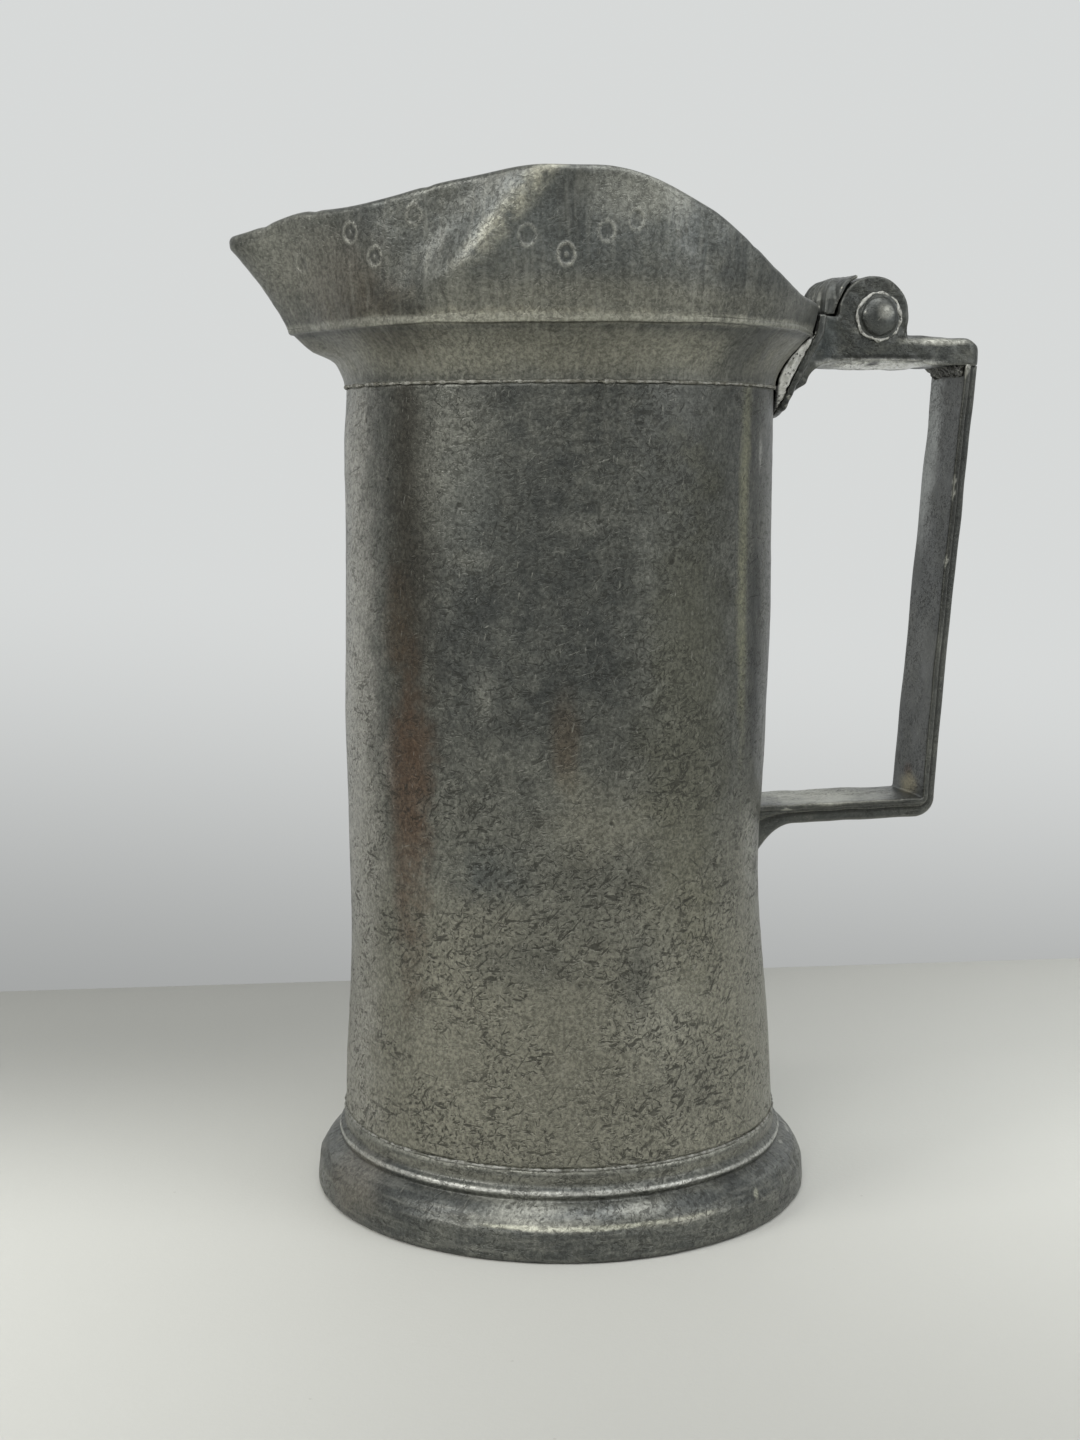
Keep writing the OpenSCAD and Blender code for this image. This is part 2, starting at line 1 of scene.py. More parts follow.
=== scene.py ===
"""Looks of a worn pewter wine measure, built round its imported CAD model.

Lengths are metres in the model's own frame: the origin is under the drum on the table, +X points to the
handle, -X to the spout, +Z up, and the side that the photograph shows faces -Y.
"""

import math

import bmesh
import bpy
import numpy as np
from bpy.props import FloatProperty, FloatVectorProperty, IntProperty, PointerProperty
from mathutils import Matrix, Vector


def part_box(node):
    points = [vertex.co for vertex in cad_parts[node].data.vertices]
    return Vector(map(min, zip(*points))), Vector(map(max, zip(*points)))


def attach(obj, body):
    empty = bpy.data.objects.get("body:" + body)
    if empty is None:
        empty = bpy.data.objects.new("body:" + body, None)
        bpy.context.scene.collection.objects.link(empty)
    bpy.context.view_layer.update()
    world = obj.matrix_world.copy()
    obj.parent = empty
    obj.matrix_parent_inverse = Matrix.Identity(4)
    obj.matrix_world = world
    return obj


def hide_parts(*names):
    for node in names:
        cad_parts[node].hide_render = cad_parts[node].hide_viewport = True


bl_info = {
    "name": "Pewter wine measure",
    "version": (1, 0, 0),
    "blender": (4, 5, 0),
    "location": "3D View > Sidebar > Measure",
    "description": "Builds the worn skins, solder, finishes and stage of a pewter wine measure",
    "category": "Object",
}

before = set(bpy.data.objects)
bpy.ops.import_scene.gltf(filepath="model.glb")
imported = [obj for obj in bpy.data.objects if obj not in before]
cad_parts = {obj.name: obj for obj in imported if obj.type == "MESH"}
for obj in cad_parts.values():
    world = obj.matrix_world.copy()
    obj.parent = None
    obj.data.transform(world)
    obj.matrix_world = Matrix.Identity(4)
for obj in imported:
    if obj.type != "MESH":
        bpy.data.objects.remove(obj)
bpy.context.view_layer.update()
MM = 0.001

# Sizes of the model in mm, which the skins are drawn in.
SEAM_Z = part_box("drum")[1].z / MM
FOOT_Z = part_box("foot")[1].z / MM
BORE_R = 43.0
DRUM_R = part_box("collar_seam")[1].x / MM - 0.35
COLLAR_R = DRUM_R + 0.4
COLLAR_H = 11.2
COLLAR_FLARE = 7.6
COLLAR_POWER = 1.75
ARRIS_Z = SEAM_Z + COLLAR_H
HUMP_H = 28.2
LIP_WALL = 2.7
INNER_STEP = 3.4
CHIN = 4.1
PIN = (69.1, 191.5)
LUG_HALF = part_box("hinge_pin")[1].y / MM
GRIP_TOP_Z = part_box("grip")[1].z / MM
TURN = 2 * math.pi
SPOUT = TURN / 2

# The lip's crease lies this many degrees from the spout: a start, a sweep up the lip, and its power.
CREASE_START, CREASE_SWEEP, CREASE_POWER = 47, 28, 0.9


def length_setting(label, default, low, high, about):
    """A length in metres that a user may change."""
    return FloatProperty(name=label, default=default, unit="LENGTH", min=low, max=high, description=about)


def colour_setting(label, default, about):
    """A colour that a user may change."""
    return FloatVectorProperty(name=label, subtype="COLOR", size=3, min=0, max=1, default=default,
                               description=about)


class MeasureSizes(bpy.types.PropertyGroup):
    """Sizes of the wear and of the small forms that the solids leave out."""

    side_dent: length_setting(
        "Side dent", 0.0023, 0, 0.004, "Depth of the dent in the drum under the handle's lower arm")
    side_swell: length_setting(
        "Side swell", 0.001, 0, 0.002, "Height by which the drum bulges under the spout")
    drum_wander: length_setting(
        "Drum wander", 0.00028, 0, 0.001, "Height of the slow unevenness of the drum's wall")
    crease: length_setting(
        "Lip crease", 0.0016, 0, 0.003, "Height of the soft ridge from the lip's hump to the collar")
    cast_wander: length_setting(
        "Cast wander", 0.00012, 0, 0.0005, "Height of the unevenness of the cast pieces")
    solder_lump: length_setting(
        "Solder lumps", 0.00028, 0, 0.001, "Height of the lumps in the open solder")
    around: IntProperty(
        name="Points around", default=480, min=96, max=720,
        description="Number of points round the drum, the foot and the bonnet")


class MeasureFinish(bpy.types.PropertyGroup):
    """Colours of the metal, as it looks under plain light."""

    pewter: colour_setting("Pewter", (0.140, 0.143, 0.127), "Middle tone of the worn body")
    # The tarnish tone also paints shade: the crevice under the lip's arris, a band beside the lip's crease
    # and a patch on the foot's skirt.
    pewter_dark: colour_setting(
        "Tarnish", (0.056, 0.060, 0.058), "Dark tarnish of the body and of the handle")
    # The warm tone also paints highlights along the lip's arris and on the foot's arris.
    pewter_warm: colour_setting(
        "Warm pewter", (0.270, 0.262, 0.212), "Lighter olive tone of the lower body and of rubbed arrises")
    stain: colour_setting("Rust stain", (0.105, 0.070, 0.040), "Brown stain on the left of the body")
    # The same pale colour also paints highlights: on the arrises of the lip and of the foot, on the foot's
    # skirt, on the top of the lip, on the arm's side, on the near pin dome and in a streak on the drum.
    rubbed: colour_setting("Rubbed edge", (0.42, 0.42, 0.37), "Pale metal where edges are rubbed bare")
    solder: colour_setting("Solder", (0.86, 0.86, 0.82), "Bare solder")


class MeasureStage(bpy.types.PropertyGroup):
    """Camera, table, wall and lamps."""

    distance: length_setting(
        "Camera distance", 0.4392, 0.2, 2, "Level distance from the camera to the drum's axis")
    height: length_setting("Camera height", 0.1616, 0, 1, "Height of the camera over the table")
    side: length_setting(
        "Camera side step", -0.00426, -0.1, 0.1, "Distance of the camera to the right of the drum's axis")
    yaw: FloatProperty(
        name="Object yaw", default=math.radians(12), subtype="ANGLE", min=-3.2, max=3.2,
        description="Angle that the object is turned by, seen from above")
    pitch: FloatProperty(
        name="Camera pitch", default=math.radians(7.55), subtype="ANGLE", min=0, max=1.5,
        description="Angle that the camera looks down by")
    table: colour_setting("Table", (0.69, 0.69, 0.65), "Colour of the table")
    wall: colour_setting("Wall", (0.680, 0.695, 0.690), "Colour of the wall at its top")


def ease(t):
    """Smooth step: t clamped to 0 to 1, squared, times three less twice t."""
    t = np.clip(t, 0, 1)
    return t * t * (3 - 2 * t)


def bump_at(x, middle, width):
    """Bell curve: e to the power of minus the square of (x - middle) over width."""
    return np.exp(-(((x - middle) / width) ** 2))


def circle(count):
    """Angles at even steps round a circle."""
    return np.linspace(0, TURN, count, endpoint=False)


def turn_between(a, b):
    """Angle a less angle b, folded to between minus and plus half a turn."""
    return (a - b + math.pi) % TURN - math.pi


def bump_round(angle, turn, width):
    """Bell curve round Z, about an angle of turn degrees."""
    return bump_at(turn_between(angle, math.radians(turn)), 0, width)


def wander(points, size, seed):
    """Sum of cosines along random directions, with wavelengths from half of size to twice size and random
    phases, scaled so that it keeps mostly between -1 and 1."""
    waves = 26
    rng = np.random.default_rng(seed)
    heads = rng.normal(size=(waves, 3))
    heads /= np.linalg.norm(heads, axis=1)[:, None]
    heads *= (TURN / (size * 2.0 ** rng.uniform(-1, 1, waves)))[:, None]
    return np.cos(points @ heads.T + rng.uniform(0, TURN, waves)).sum(-1) / math.sqrt(waves * 1.2)


def surface(name, points, fans=False):
    """A grid of points (rows, columns, xyz in mm) becomes one closed mesh in metres. Columns always join
    round. Rows join round too, or else a fan about the middle of its points closes each end row. The faces
    are turned over where the volume that they enclose comes out negative."""
    rows, cols = points.shape[:2]
    index = np.arange(rows * cols).reshape(rows, cols)
    low = index[:-1] if fans else index
    high = index[1:] if fans else np.roll(index, -1, 0)
    quads = np.stack([low, np.roll(low, -1, 1), np.roll(high, -1, 1), high], -1).reshape(-1, 4)
    co = points.reshape(-1, 3) * MM
    faces = quads.tolist()
    if fans:
        n = len(co)
        co = np.vstack([co, co[index[0]].mean(0), co[index[-1]].mean(0)])
        first, last = index[0], index[-1]
        faces += np.stack([np.roll(first, -1), first, np.full(cols, n)], -1).tolist()
        faces += np.stack([last, np.roll(last, -1), np.full(cols, n + 1)], -1).tolist()
    a, b, c, d = (co[quads[:, i]] for i in range(4))
    volume = (np.einsum("ij,ij->i", a, np.cross(b, c)) + np.einsum("ij,ij->i", a, np.cross(c, d))).sum()
    if volume < 0:
        faces = [face[::-1] for face in faces]
    mesh = bpy.data.meshes.new(name)
    mesh.from_pydata(co.tolist(), [], faces)
    return finished(name, mesh)


def added(name, data):
    """A new object at the origin, in the scene's collection."""
    obj = bpy.data.objects.new(name, data)
    bpy.context.scene.collection.objects.link(obj)
    return obj


def finished(name, mesh):
    """An object that holds the mesh, shaded smooth."""
    mesh.polygons.foreach_set("use_smooth", np.ones(len(mesh.polygons), bool))
    mesh.update()
    return added(name, mesh)


def spun(radius, angle, height):
    """Points at radius and height at each angle about Z."""
    return np.stack([radius * np.cos(angle), radius * np.sin(angle), height], -1)


def worn_copy(name, node, voxel, rounds, lump, size, seed, shape=None):
    """A node's own solid with its edges worn round. A copy is welded and cut into even cells of one voxel,
    shape moves its points where one is given, each point moves halfway to the mean of its neighbours in each
    of the rounds, and then along its normal by lump times a smooth wander of the given size in mm."""
    bm = bmesh.new()
    bm.from_mesh(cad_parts[node].data)
    bmesh.ops.remove_doubles(bm, verts=bm.verts, dist=1e-6)
    raw = bpy.data.meshes.new(name + "_raw")
    bm.to_mesh(raw)
    bm.free()
    carrier = added(name + "_raw", raw)
    cells = carrier.modifiers.new("cells", "REMESH")
    cells.mode = "VOXEL"
    cells.voxel_size = voxel * MM
    bpy.context.view_layer.update()
    shown = carrier.evaluated_get(bpy.context.evaluated_depsgraph_get())
    mesh = bpy.data.meshes.new_from_object(shown)
    mesh.name = name
    bpy.data.objects.remove(carrier)
    bpy.data.meshes.remove(raw)
    mesh.materials.clear()
    n = len(mesh.vertices)
    co = np.empty(n * 3)
    mesh.vertices.foreach_get("co", co)
    co = co.reshape(-1, 3)
    edges = np.empty(len(mesh.edges) * 2, int)
    mesh.edges.foreach_get("vertices", edges)
    one, two = edges.reshape(-1, 2).T
    if shape:
        co = shape(co / MM) * MM
    valence = np.bincount(one, minlength=n) + np.bincount(two, minlength=n)
    for _ in range(rounds):
        mean = np.stack([np.bincount(one, co[two, k], n) + np.bincount(two, co[one, k], n)
                         for k in range(3)], -1) / valence[:, None]
        co += (mean - co) / 2
    mesh.vertices.foreach_set("co", co.ravel())
    mesh.update()
    normals = np.empty(n * 3, np.float32)
    mesh.vertex_normals.foreach_get("vector", normals)
    co += normals.reshape(-1, 3) * (lump * wander(co, size * MM, seed))[:, None]
    mesh.vertices.foreach_set("co", co.ravel())
    return finished(name, mesh)


def arm_edges(co):
    """The arm's underside between the saddle and the grip is bellied: its height is 180.5 mm at the middle
    and rises with the square of the distance across to 182.2 mm at both edges."""
    share = ease((co[:, 0] - 56) / 6) * ease((82 - co[:, 0]) / 3)
    low = 181.2 + share * (1.7 * (co[:, 1] / 9.2) ** 2 - 0.7)
    co[:, 2] = np.where((co[:, 2] < np.maximum(low, 181.35)) & (co[:, 2] > 180.9), low, co[:, 2])
    return co


def place(obj, slot, finish, *nodes, body="vessel"):
    """Gives a piece its finish, its body and the nodes that it stands for."""
    obj.data.materials.append(finish)
    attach(obj, body)
    if nodes:
        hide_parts(*nodes)


def drum_radius(z):
    """Radius of the drum: its top radius plus 2 mm times the square of the share left of the flare."""
    return DRUM_R + 2 * np.maximum(0, 1 - (z - FOOT_Z) / 58) ** 2


# The drum's shallow dents: degrees from the handle, height and depth in mm, half width in radians, half
# height in mm.
DENTS = [(-128, 146, 0.5, 0.16, 13), (-70, 118, 0.4, 0.2, 16), (-104, 96, 0.3, 0.18, 20),
         (-45, 140, 0.45, 0.22, 24), (40, 90, 0.6, 0.24, 18), (110, 120, 0.5, 0.3, 25)]


def drum_wear(angle, z, sizes):
    """Change of the drum's radius: a dent below the lower arm, a swell under the spout, six shallow dents,
    and a slow wander that dies out at both seams."""
    keep = ease((z - FOOT_Z) / 14) * ease((SEAM_Z - z) / 12)
    dent = sizes.side_dent / MM * bump_at(z, 72, 24) * bump_round(angle, -12, 0.5)
    swell = sizes.side_swell / MM * bump_round(angle, 172, 0.75)
    swell = swell * (0.8 + 0.35 * np.cos(z / 17))
    for turn, height, depth, width, tall in DENTS:
        dent = dent + depth * bump_round(angle, turn, width) * bump_at(z, height, tall)
    slow = sizes.drum_wander / MM * wander(spun(DRUM_R + 0 * z, angle, z), 46, 11)
    return keep * (swell - dent + slow)


def drum_skin(sizes):
    """A closed tube: up the outside of the drum, over the top, and down the bore, each point at its own
    radius, so that the dents show inside too."""
    angle = circle(sizes.around)
    up = np.linspace(FOOT_Z, SEAM_Z, 130)
    z = np.concatenate([up, up[::-2]])[:, None] + 0 * angle
    a = angle + 0 * z
    wear = drum_wear(a, z, sizes)
    outside = (np.arange(len(z)) < len(up))[:, None]
    fine = 0.03 * wander(spun(DRUM_R + 0 * z, a, z), 5, 12)
    radius = np.where(outside, drum_radius(z) + wear + fine, BORE_R + wear)
    return surface("drum_skin", spun(radius, a, z))


# Radius and height of the foot's section in mm: the ledge, the neck, the bead, the skirt, the rim and the
# inside.
FOOT_LINE = [(43.0, 17.2), (46.0, 17.3), (48.0, 17.25), (48.25, 16.9), (48.3, 15.6), (48.3, 14.1),
             (48.55, 13.7), (49.1, 13.45), (49.5, 12.9), (49.62, 12.35), (49.5, 11.8), (49.15, 11.45),
             (49.2, 11.2), (49.75, 10.95), (50.6, 10.5), (51.6, 9.8), (52.45, 9.0), (53.1, 8.1), (53.5, 7.3),
             (53.85, 6.8), (54.15, 6.3), (54.35, 5.4), (54.5, 4.0), (54.65, 2.4), (54.75, 1.2), (54.6, 0.5),
             (54.1, 0.08), (53.6, 0.0), (52.0, 0.0), (50.6, 0.0), (50.2, 0.25), (47.2, 1.2), (44.55, 1.8),
             (44.5, 3.9), (43.1, 4.0), (43.0, 6.0), (43.0, 11.0)]


def along(line, count):
    """Points at even steps of length on a closed line of (x, y) corners."""
    line = np.array(list(line) + [line[0]])
    run = np.concatenate([[0], np.cumsum(np.hypot(*np.diff(line, axis=0).T))])
    at = np.linspace(0, run[-1], count, endpoint=False)
    return np.interp(at, run, line[:, 0]), np.interp(at, run, line[:, 1])


def foot_skin(sizes):
    """The foot's line, spun about Z. The skirt stands a little more to the handle's side, is worn by small
    flats at its arris, and wanders slowly. The rim stays on the table."""
    angle = circle(sizes.around)
    r, z = along(FOOT_LINE, 190)
    for _ in range(2):
        r, z = (np.roll(r, 1) + 2 * r + np.roll(r, -1)) / 4, (np.roll(z, 1) + 2 * z + np.roll(z, -1)) / 4
    r, z, a = r[:, None] + 0 * angle, z[:, None] + 0 * angle, angle + 0 * r[:, None]
    skirt = ease((r - 48.6) / 3)
    shift = 0.35 * np.cos(turn_between(a, math.radians(-10)))
    flats = sum(depth * bump_round(a, turn, wide)
                for turn, depth, wide in [(-26, 0.5, 0.03), (-31, 0.35, 0.02), (-124, 0.25, 0.05),
                                          (-84, 0.2, 0.04), (60, 0.4, 0.05), (150, 0.3, 0.04)])
    arris = bump_at(z, 6.8, 1.3)
    lumps = 0.1 * wander(spun(r, a, z), 9, 21) + 0.12 * wander(spun(r, a, z), 40, 22)
    r = r + skirt * (shift - arris * flats + lumps)
    z = np.where(z < 0.02, 0, z + 0.09 * wander(spun(r, a, 0 * z), 30, 23) * bump_at(z, 12.4, 2.5))
    return surface("foot_skin", spun(r, a, z))


def seam_bead(name, sizes, radius, z, thick, seed, drops=()):
    """A thin ring of solder: a circle of 12 points carried round Z, its thickness a wander about thick and
    swollen into a drop at each of the angles given."""
    angle = circle(sizes.around * 2)
    ring = circle(12)[:, None]
    track = spun(radius + 0 * angle, angle, z + 0 * angle)
    size = thick * (1 + 0.28 * wander(track, 6, seed) + 0.25 * wander(track, 1.6, seed + 1))
    for turn, more in drops:
        size = size + more * bump_round(angle, turn, 0.018)
    line = radius + 0.12 * wander(track, 14, seed + 2)
    return surface(name, spun(line + size * np.cos(ring), angle + 0 * ring, z + size * np.sin(ring)))


def rim_height(a):
    """Height of the lip over the arris at a degrees from the spout: the tip, an eased rise behind it, an
    eased rise to the hump and an eased fall to the back."""
    front = 19.6 + 3.2 * ease(a / 18) + 5.4 * ease((a - 25) / 51)
    return np.where(a < 76, front, HUMP_H - 21.6 * ease((a - 84) / 62))


def beak(a, spread):
    """The spout's share at a degrees from it: e to minus (a over spread) to the power 1.4."""
    return np.exp(-((a / spread) ** 1.4))


def collar_radius(a, t):
    """Radius of the collar at share t of its height, with the spout's chin eased in from 0.42 up."""
    return COLLAR_R + COLLAR_FLARE * t ** COLLAR_POWER + CHIN * ease((t - 0.42) / 0.28) * beak(a, 7.5)


def lip_radius(a, v, sizes):
    """Radius of the lip at share v of its height: the leaning round lip, plus the spout's reach times the
    beak, less the drawn-in flank, plus the soft ridge that runs from the hump down to the collar."""
    h = rim_height(a) * v
    reach = CHIN + 9.5 * np.minimum(1, v / 0.86) ** 1.45
    flank = 2.2 * v * bump_at(a, 48, 22) + 1.3 * ease(v * 1.6) * bump_at(a, 38 + 22 * v, 10)
    ridge = sizes.crease / MM * ease(v * 2.6) * bump_at(a, CREASE_START + CREASE_SWEEP * v ** CREASE_POWER, 7)
    return DRUM_R + 8 + 4 * h / (h + 10) + reach * beak(a, 7.5 + 6.5 * v) - flank + ridge


def bonnet_skin(sizes):
    """A closed skin: the collar, a half-round bead on the arris, the lip, a round edge, and the same lines
    less the wall on the inside. Rows from the collar's top to the lip's foot are eased into each other.
    Angles run round from the spout, and both sides are alike but for wear."""
    angle = circle(sizes.around)
    a = np.degrees(np.abs(turn_between(angle, SPOUT)))
    shares = np.linspace(0, 0.97, 24)
    lip_shares = np.linspace(0.03, 1, 46)
    half = LIP_WALL / 2
    full = 1 - half / rim_height(a)
    top_r, top_z = lip_radius(a, full, sizes), ARRIS_Z + rim_height(a) - half
    rows = [(collar_radius(a, t), SEAM_Z + COLLAR_H * t, 1) for t in shares]
    edge = collar_radius(a, 1)
    rows += [(edge + 0.45 * math.cos(p), ARRIS_Z + 0.6 * math.sin(p), 1)
             for p in np.radians([-70, -35, 0, 35, 70])]
    rows += [(lip_radius(a, v * full, sizes), ARRIS_Z + rim_height(a) * v * full, 1) for v in lip_shares]
    rows += [(top_r - half + half * math.cos(p), top_z + half * math.sin(p), 1 - p / math.pi)
             for p in np.radians([20, 40, 60, 80, 100, 120, 140, 160, 180])]
    rows += [(lip_radius(a, v * full, sizes) - INNER_STEP + 0.7 * v, ARRIS_Z + rim_height(a) * v * full, 0)
             for v in lip_shares[-2::-1]]
    rows += [(collar_radius(a, t) - INNER_STEP, SEAM_Z + COLLAR_H * t, 0) for t in shares[::-1]]
    r = np.stack([row[0] for row in rows])
    z = np.stack([row[1] + 0 * a for row in rows])
    outside = np.array([row[2] for row in rows])[:, None]
    first, last = 16, 42
    for _ in range(7):
        r[first:last] = (r[first - 1:last - 1] + 2 * r[first:last] + r[first + 1:last + 1]) / 4
    turn = angle + 0 * r
    flat = spun(r, turn, z)
    free = ease((z - SEAM_Z) / 4)
    wear = 0.16 * wander(flat, 17, 31) + 0.05 * wander(flat, 4, 32)
    wear = wear - 0.5 * bump_round(turn, -146, 0.05) * bump_at(z, 193, 2.2)
    nicks = sum(depth * bump_round(turn, where, 0.02) for where, depth in
                [(-172, 0.3), (-160, 0.22), (-131, 0.2), (-60, 0.2), (95, 0.25), (150, 0.3)])
    z = z - nicks * ease((z - top_z + 1.5) / 1.5)
    z = z + 0.25 * free * wander(spun(60 + 0 * r, turn, 0 * z), 35, 33)
    return surface("bonnet_skin", spun(r + free * wear * (0.4 + 0.6 * outside), turn, z))


def grip_section(fill):
    """The T-shaped section of the grip: corners given by place across, place outward and the length cut off
    for its round, each turned into four points of a quadratic curve, with points filled in between."""
    corners = [(-9.2, 0, 0.4), (9.2, 0, 0.4), (9.15, 1.25, 0.4), (7.35, 1.3, 0.2), (7.0, 2.2, 0.9),
               (-7.0, 2.2, 0.9), (-7.35, 1.3, 0.2), (-9.15, 1.25, 0.4)]
    pts = np.array(corners)
    line = []
    for (x, y, r), before, after in zip(corners, np.roll(pts, 1, 0), np.roll(pts, -1, 0)):
        here = np.array([x, y])
        back, on = before[:2] - here, after[:2] - here
        start, stop = here + back / np.linalg.norm(back) * r, here + on / np.linalg.norm(on) * r
        for s in (0, 0.33, 0.67, 1):
            line.append((1 - s) ** 2 * start + 2 * s * (1 - s) * here + s * s * stop)
    full = []
    for p, q in zip(line, line[1:] + line[:1]):
        count = max(1, int(np.linalg.norm(q - p) / fill))
        full += [p + (q - p) * k / count for k in range(count)]
    return np.array(full)


def grip_skin():
    """The T section carried along the inner face: down the leaning upright, round a tight corner, and along
    the lower arm into the drum. The rib's thickness changes along the way, from 2.7 mm to 3.5 mm, and swells
    by a power curve into the brace."""
    top, corner, root = (np.array(point) for point in ((90.03, GRIP_TOP_Z + 0.3), (82.4, 84.4), (41.6, 84.0)))
    down, along_arm = corner - top, root - corner
    down_rows, arm_rows, bend, flange, drawn_rib = 110, 54, 0.5, 1.25, 0.95
    upright = np.linspace(0, 1, down_rows)[:, None]
    arm = np.linspace(0, 1, arm_rows)[:, None]
    turn = np.linspace(0, 1, 16)[1:-1, None]
    head, tail = math.atan2(down[1], down[0]), math.atan2(along_arm[1], along_arm[0])
    unit = down / np.linalg.norm(down)
    arm_unit = along_arm / np.linalg.norm(along_arm)
    path = np.vstack([top + (down - unit * bend) * upright,
                      (1 - turn) ** 2 * (corner - unit * bend) + 2 * turn * (1 - turn) * corner
                      + turn ** 2 * (corner + arm_unit * bend),
                      corner + arm_unit * bend + (along_arm - arm_unit * bend) * arm])
    heading = np.concatenate([np.full(down_rows, head), head + turn_between(tail, head) * turn[:, 0],
                              np.full(arm_rows, tail)])
    out = np.stack([-np.sin(heading), np.cos(heading)], -1)
    rib = np.concatenate([np.full(down_rows, 2.7), 2.7 + 0.8 * turn[:, 0], np.full(arm_rows, 3.5)])
    rib[-arm_rows:] += 6.2 * (np.clip((52.9 - path[-arm_rows:, 0]) / 8.9, 0, 1.25)) ** 2.1
    section = grip_section(0.75)
    across, deep = section[:, 0][None], section[:, 1][None]
    deep = np.where(deep > flange, flange + (deep - flange) * rib[:, None] / drawn_rib, deep)
    run = np.concatenate([[0], np.cumsum(np.hypot(*np.diff(path, axis=0).T))])
    narrow = 1 - 0.03 * bump_at(run, 62, 30)[:, None]
    sway = 0.35 * np.sin(run / 31)[:, None] * ease(run / 12)[:, None] * ease((run[-1] - run) / 25)[:, None]
    points = np.stack([path[:, 0, None] + out[:, 0, None] * deep, across * narrow + sway,
                       path[:, 1, None] + out[:, 1, None] * deep], -1)
    points[..., 0] += 0.13 * wander(points, 14, 41) * ease((run[-1] - run) / 6)[:, None]
    points[..., 2] += 0.1 * wander(points, 10, 42) * ease((run - 1) / 6)[:, None]
    return surface("grip_skin", points, fans=True)


def pin_dome(name, side):
    """A low dome over a thin flange on the end of the pin: the dome's height is 1.9 mm times the cosine of a
    quarter turn to the power 0.8, and the flange runs to 5.2 mm."""
    angle = circle(96)[None]
    quarter = np.radians(np.linspace(2, 88, 22))
    radius = np.concatenate([4.15 * np.sin(quarter), [4.3, 4.8, 5.2, 5.3, 5.35, 5.3, 5.2, 2.0, 0.1]])
    height = np.concatenate([0.45 + 1.9 * np.cos(quarter) ** 0.8,
                             [0.45, 0.42, 0.36, 0.25, 0.15, 0.05, -0.2, -0.2, -0.2]])
    r = radius[:, None] + 0 * angle
    h = height[:, None] + 0 * angle
    points = np.stack([PIN[0] + r * np.cos(angle), side * (LUG_HALF + h), PIN[1] + r * np.sin(angle)], -1)
    lump = wander(points, 2.6, 51)[..., None]
    centre = np.array([PIN[0], side * LUG_HALF, PIN[1]])
    return surface(name, points + 0.045 * lump * (points - centre) / 4, fans=True)


def pin_ring(name, side, seed):
    """An uneven ring of bare metal round the dome: a circle carried round the pin, its thickness a wander
    with three blobs, and its own radius a wander too."""
    angle = circle(240)[None]
    ring = circle(14)[:, None]
    track = np.stack([5 * np.cos(angle), 0 * angle, 5 * np.sin(angle)], -1)
    size = 0.33 * (1 + 0.3 * wander(track, 3.2, seed) + 0.22 * wander(track, 1.1, seed + 1))
    for turn, more in [(-92, 0.28), (8, 0.3), (140, 0.12)]:
        size = size + more * bump_round(angle, turn, 0.13)
    radius = 5.0 + 0.2 * wander(track, 4, seed + 2) + size * np.cos(ring)
    height = 0.3 + 0.75 * size * np.sin(ring)
    return surface(name, np.stack([PIN[0] + radius * np.cos(angle), side * (LUG_HALF + height),
                                   PIN[1] + radius * np.sin(angle)], -1))


class Wire:
    """One output of a node. Sums on it add Math nodes."""

    def __init__(self, finish, socket):
        self.finish, self.socket = finish, socket

    def math(self, operation, first, second=0.0):
        return self.finish.add("Math", {"operation": operation}, {0: first, 1: second})

    def __add__(self, other):
        return self.math("ADD", self, other)

    __radd__ = __add__

    def __sub__(self, other):
        return self.math("SUBTRACT", self, other)

    def __rsub__(self, other):
        return self.math("SUBTRACT", other, self)

    def __mul__(self, other):
        return self.math("MULTIPLY", self, other)

    __rmul__ = __mul__

    def __truediv__(self, other):
        return self.math("DIVIDE", self, other)

    def __pow__(self, other):
        return self.math("POWER", self, other)

    def __abs__(self):
        return self.math("ABSOLUTE", self)

    def over(self, other):
        return self.math("MAXIMUM", self, other)

    def step(self, low, high):
        """0 below low, 1 above high, and a smooth rise between them."""
        return self.finish.add("MapRange", {"interpolation_type": "SMOOTHSTEP"},
                               {"Value": self, "From Min": low, "From Max": high})


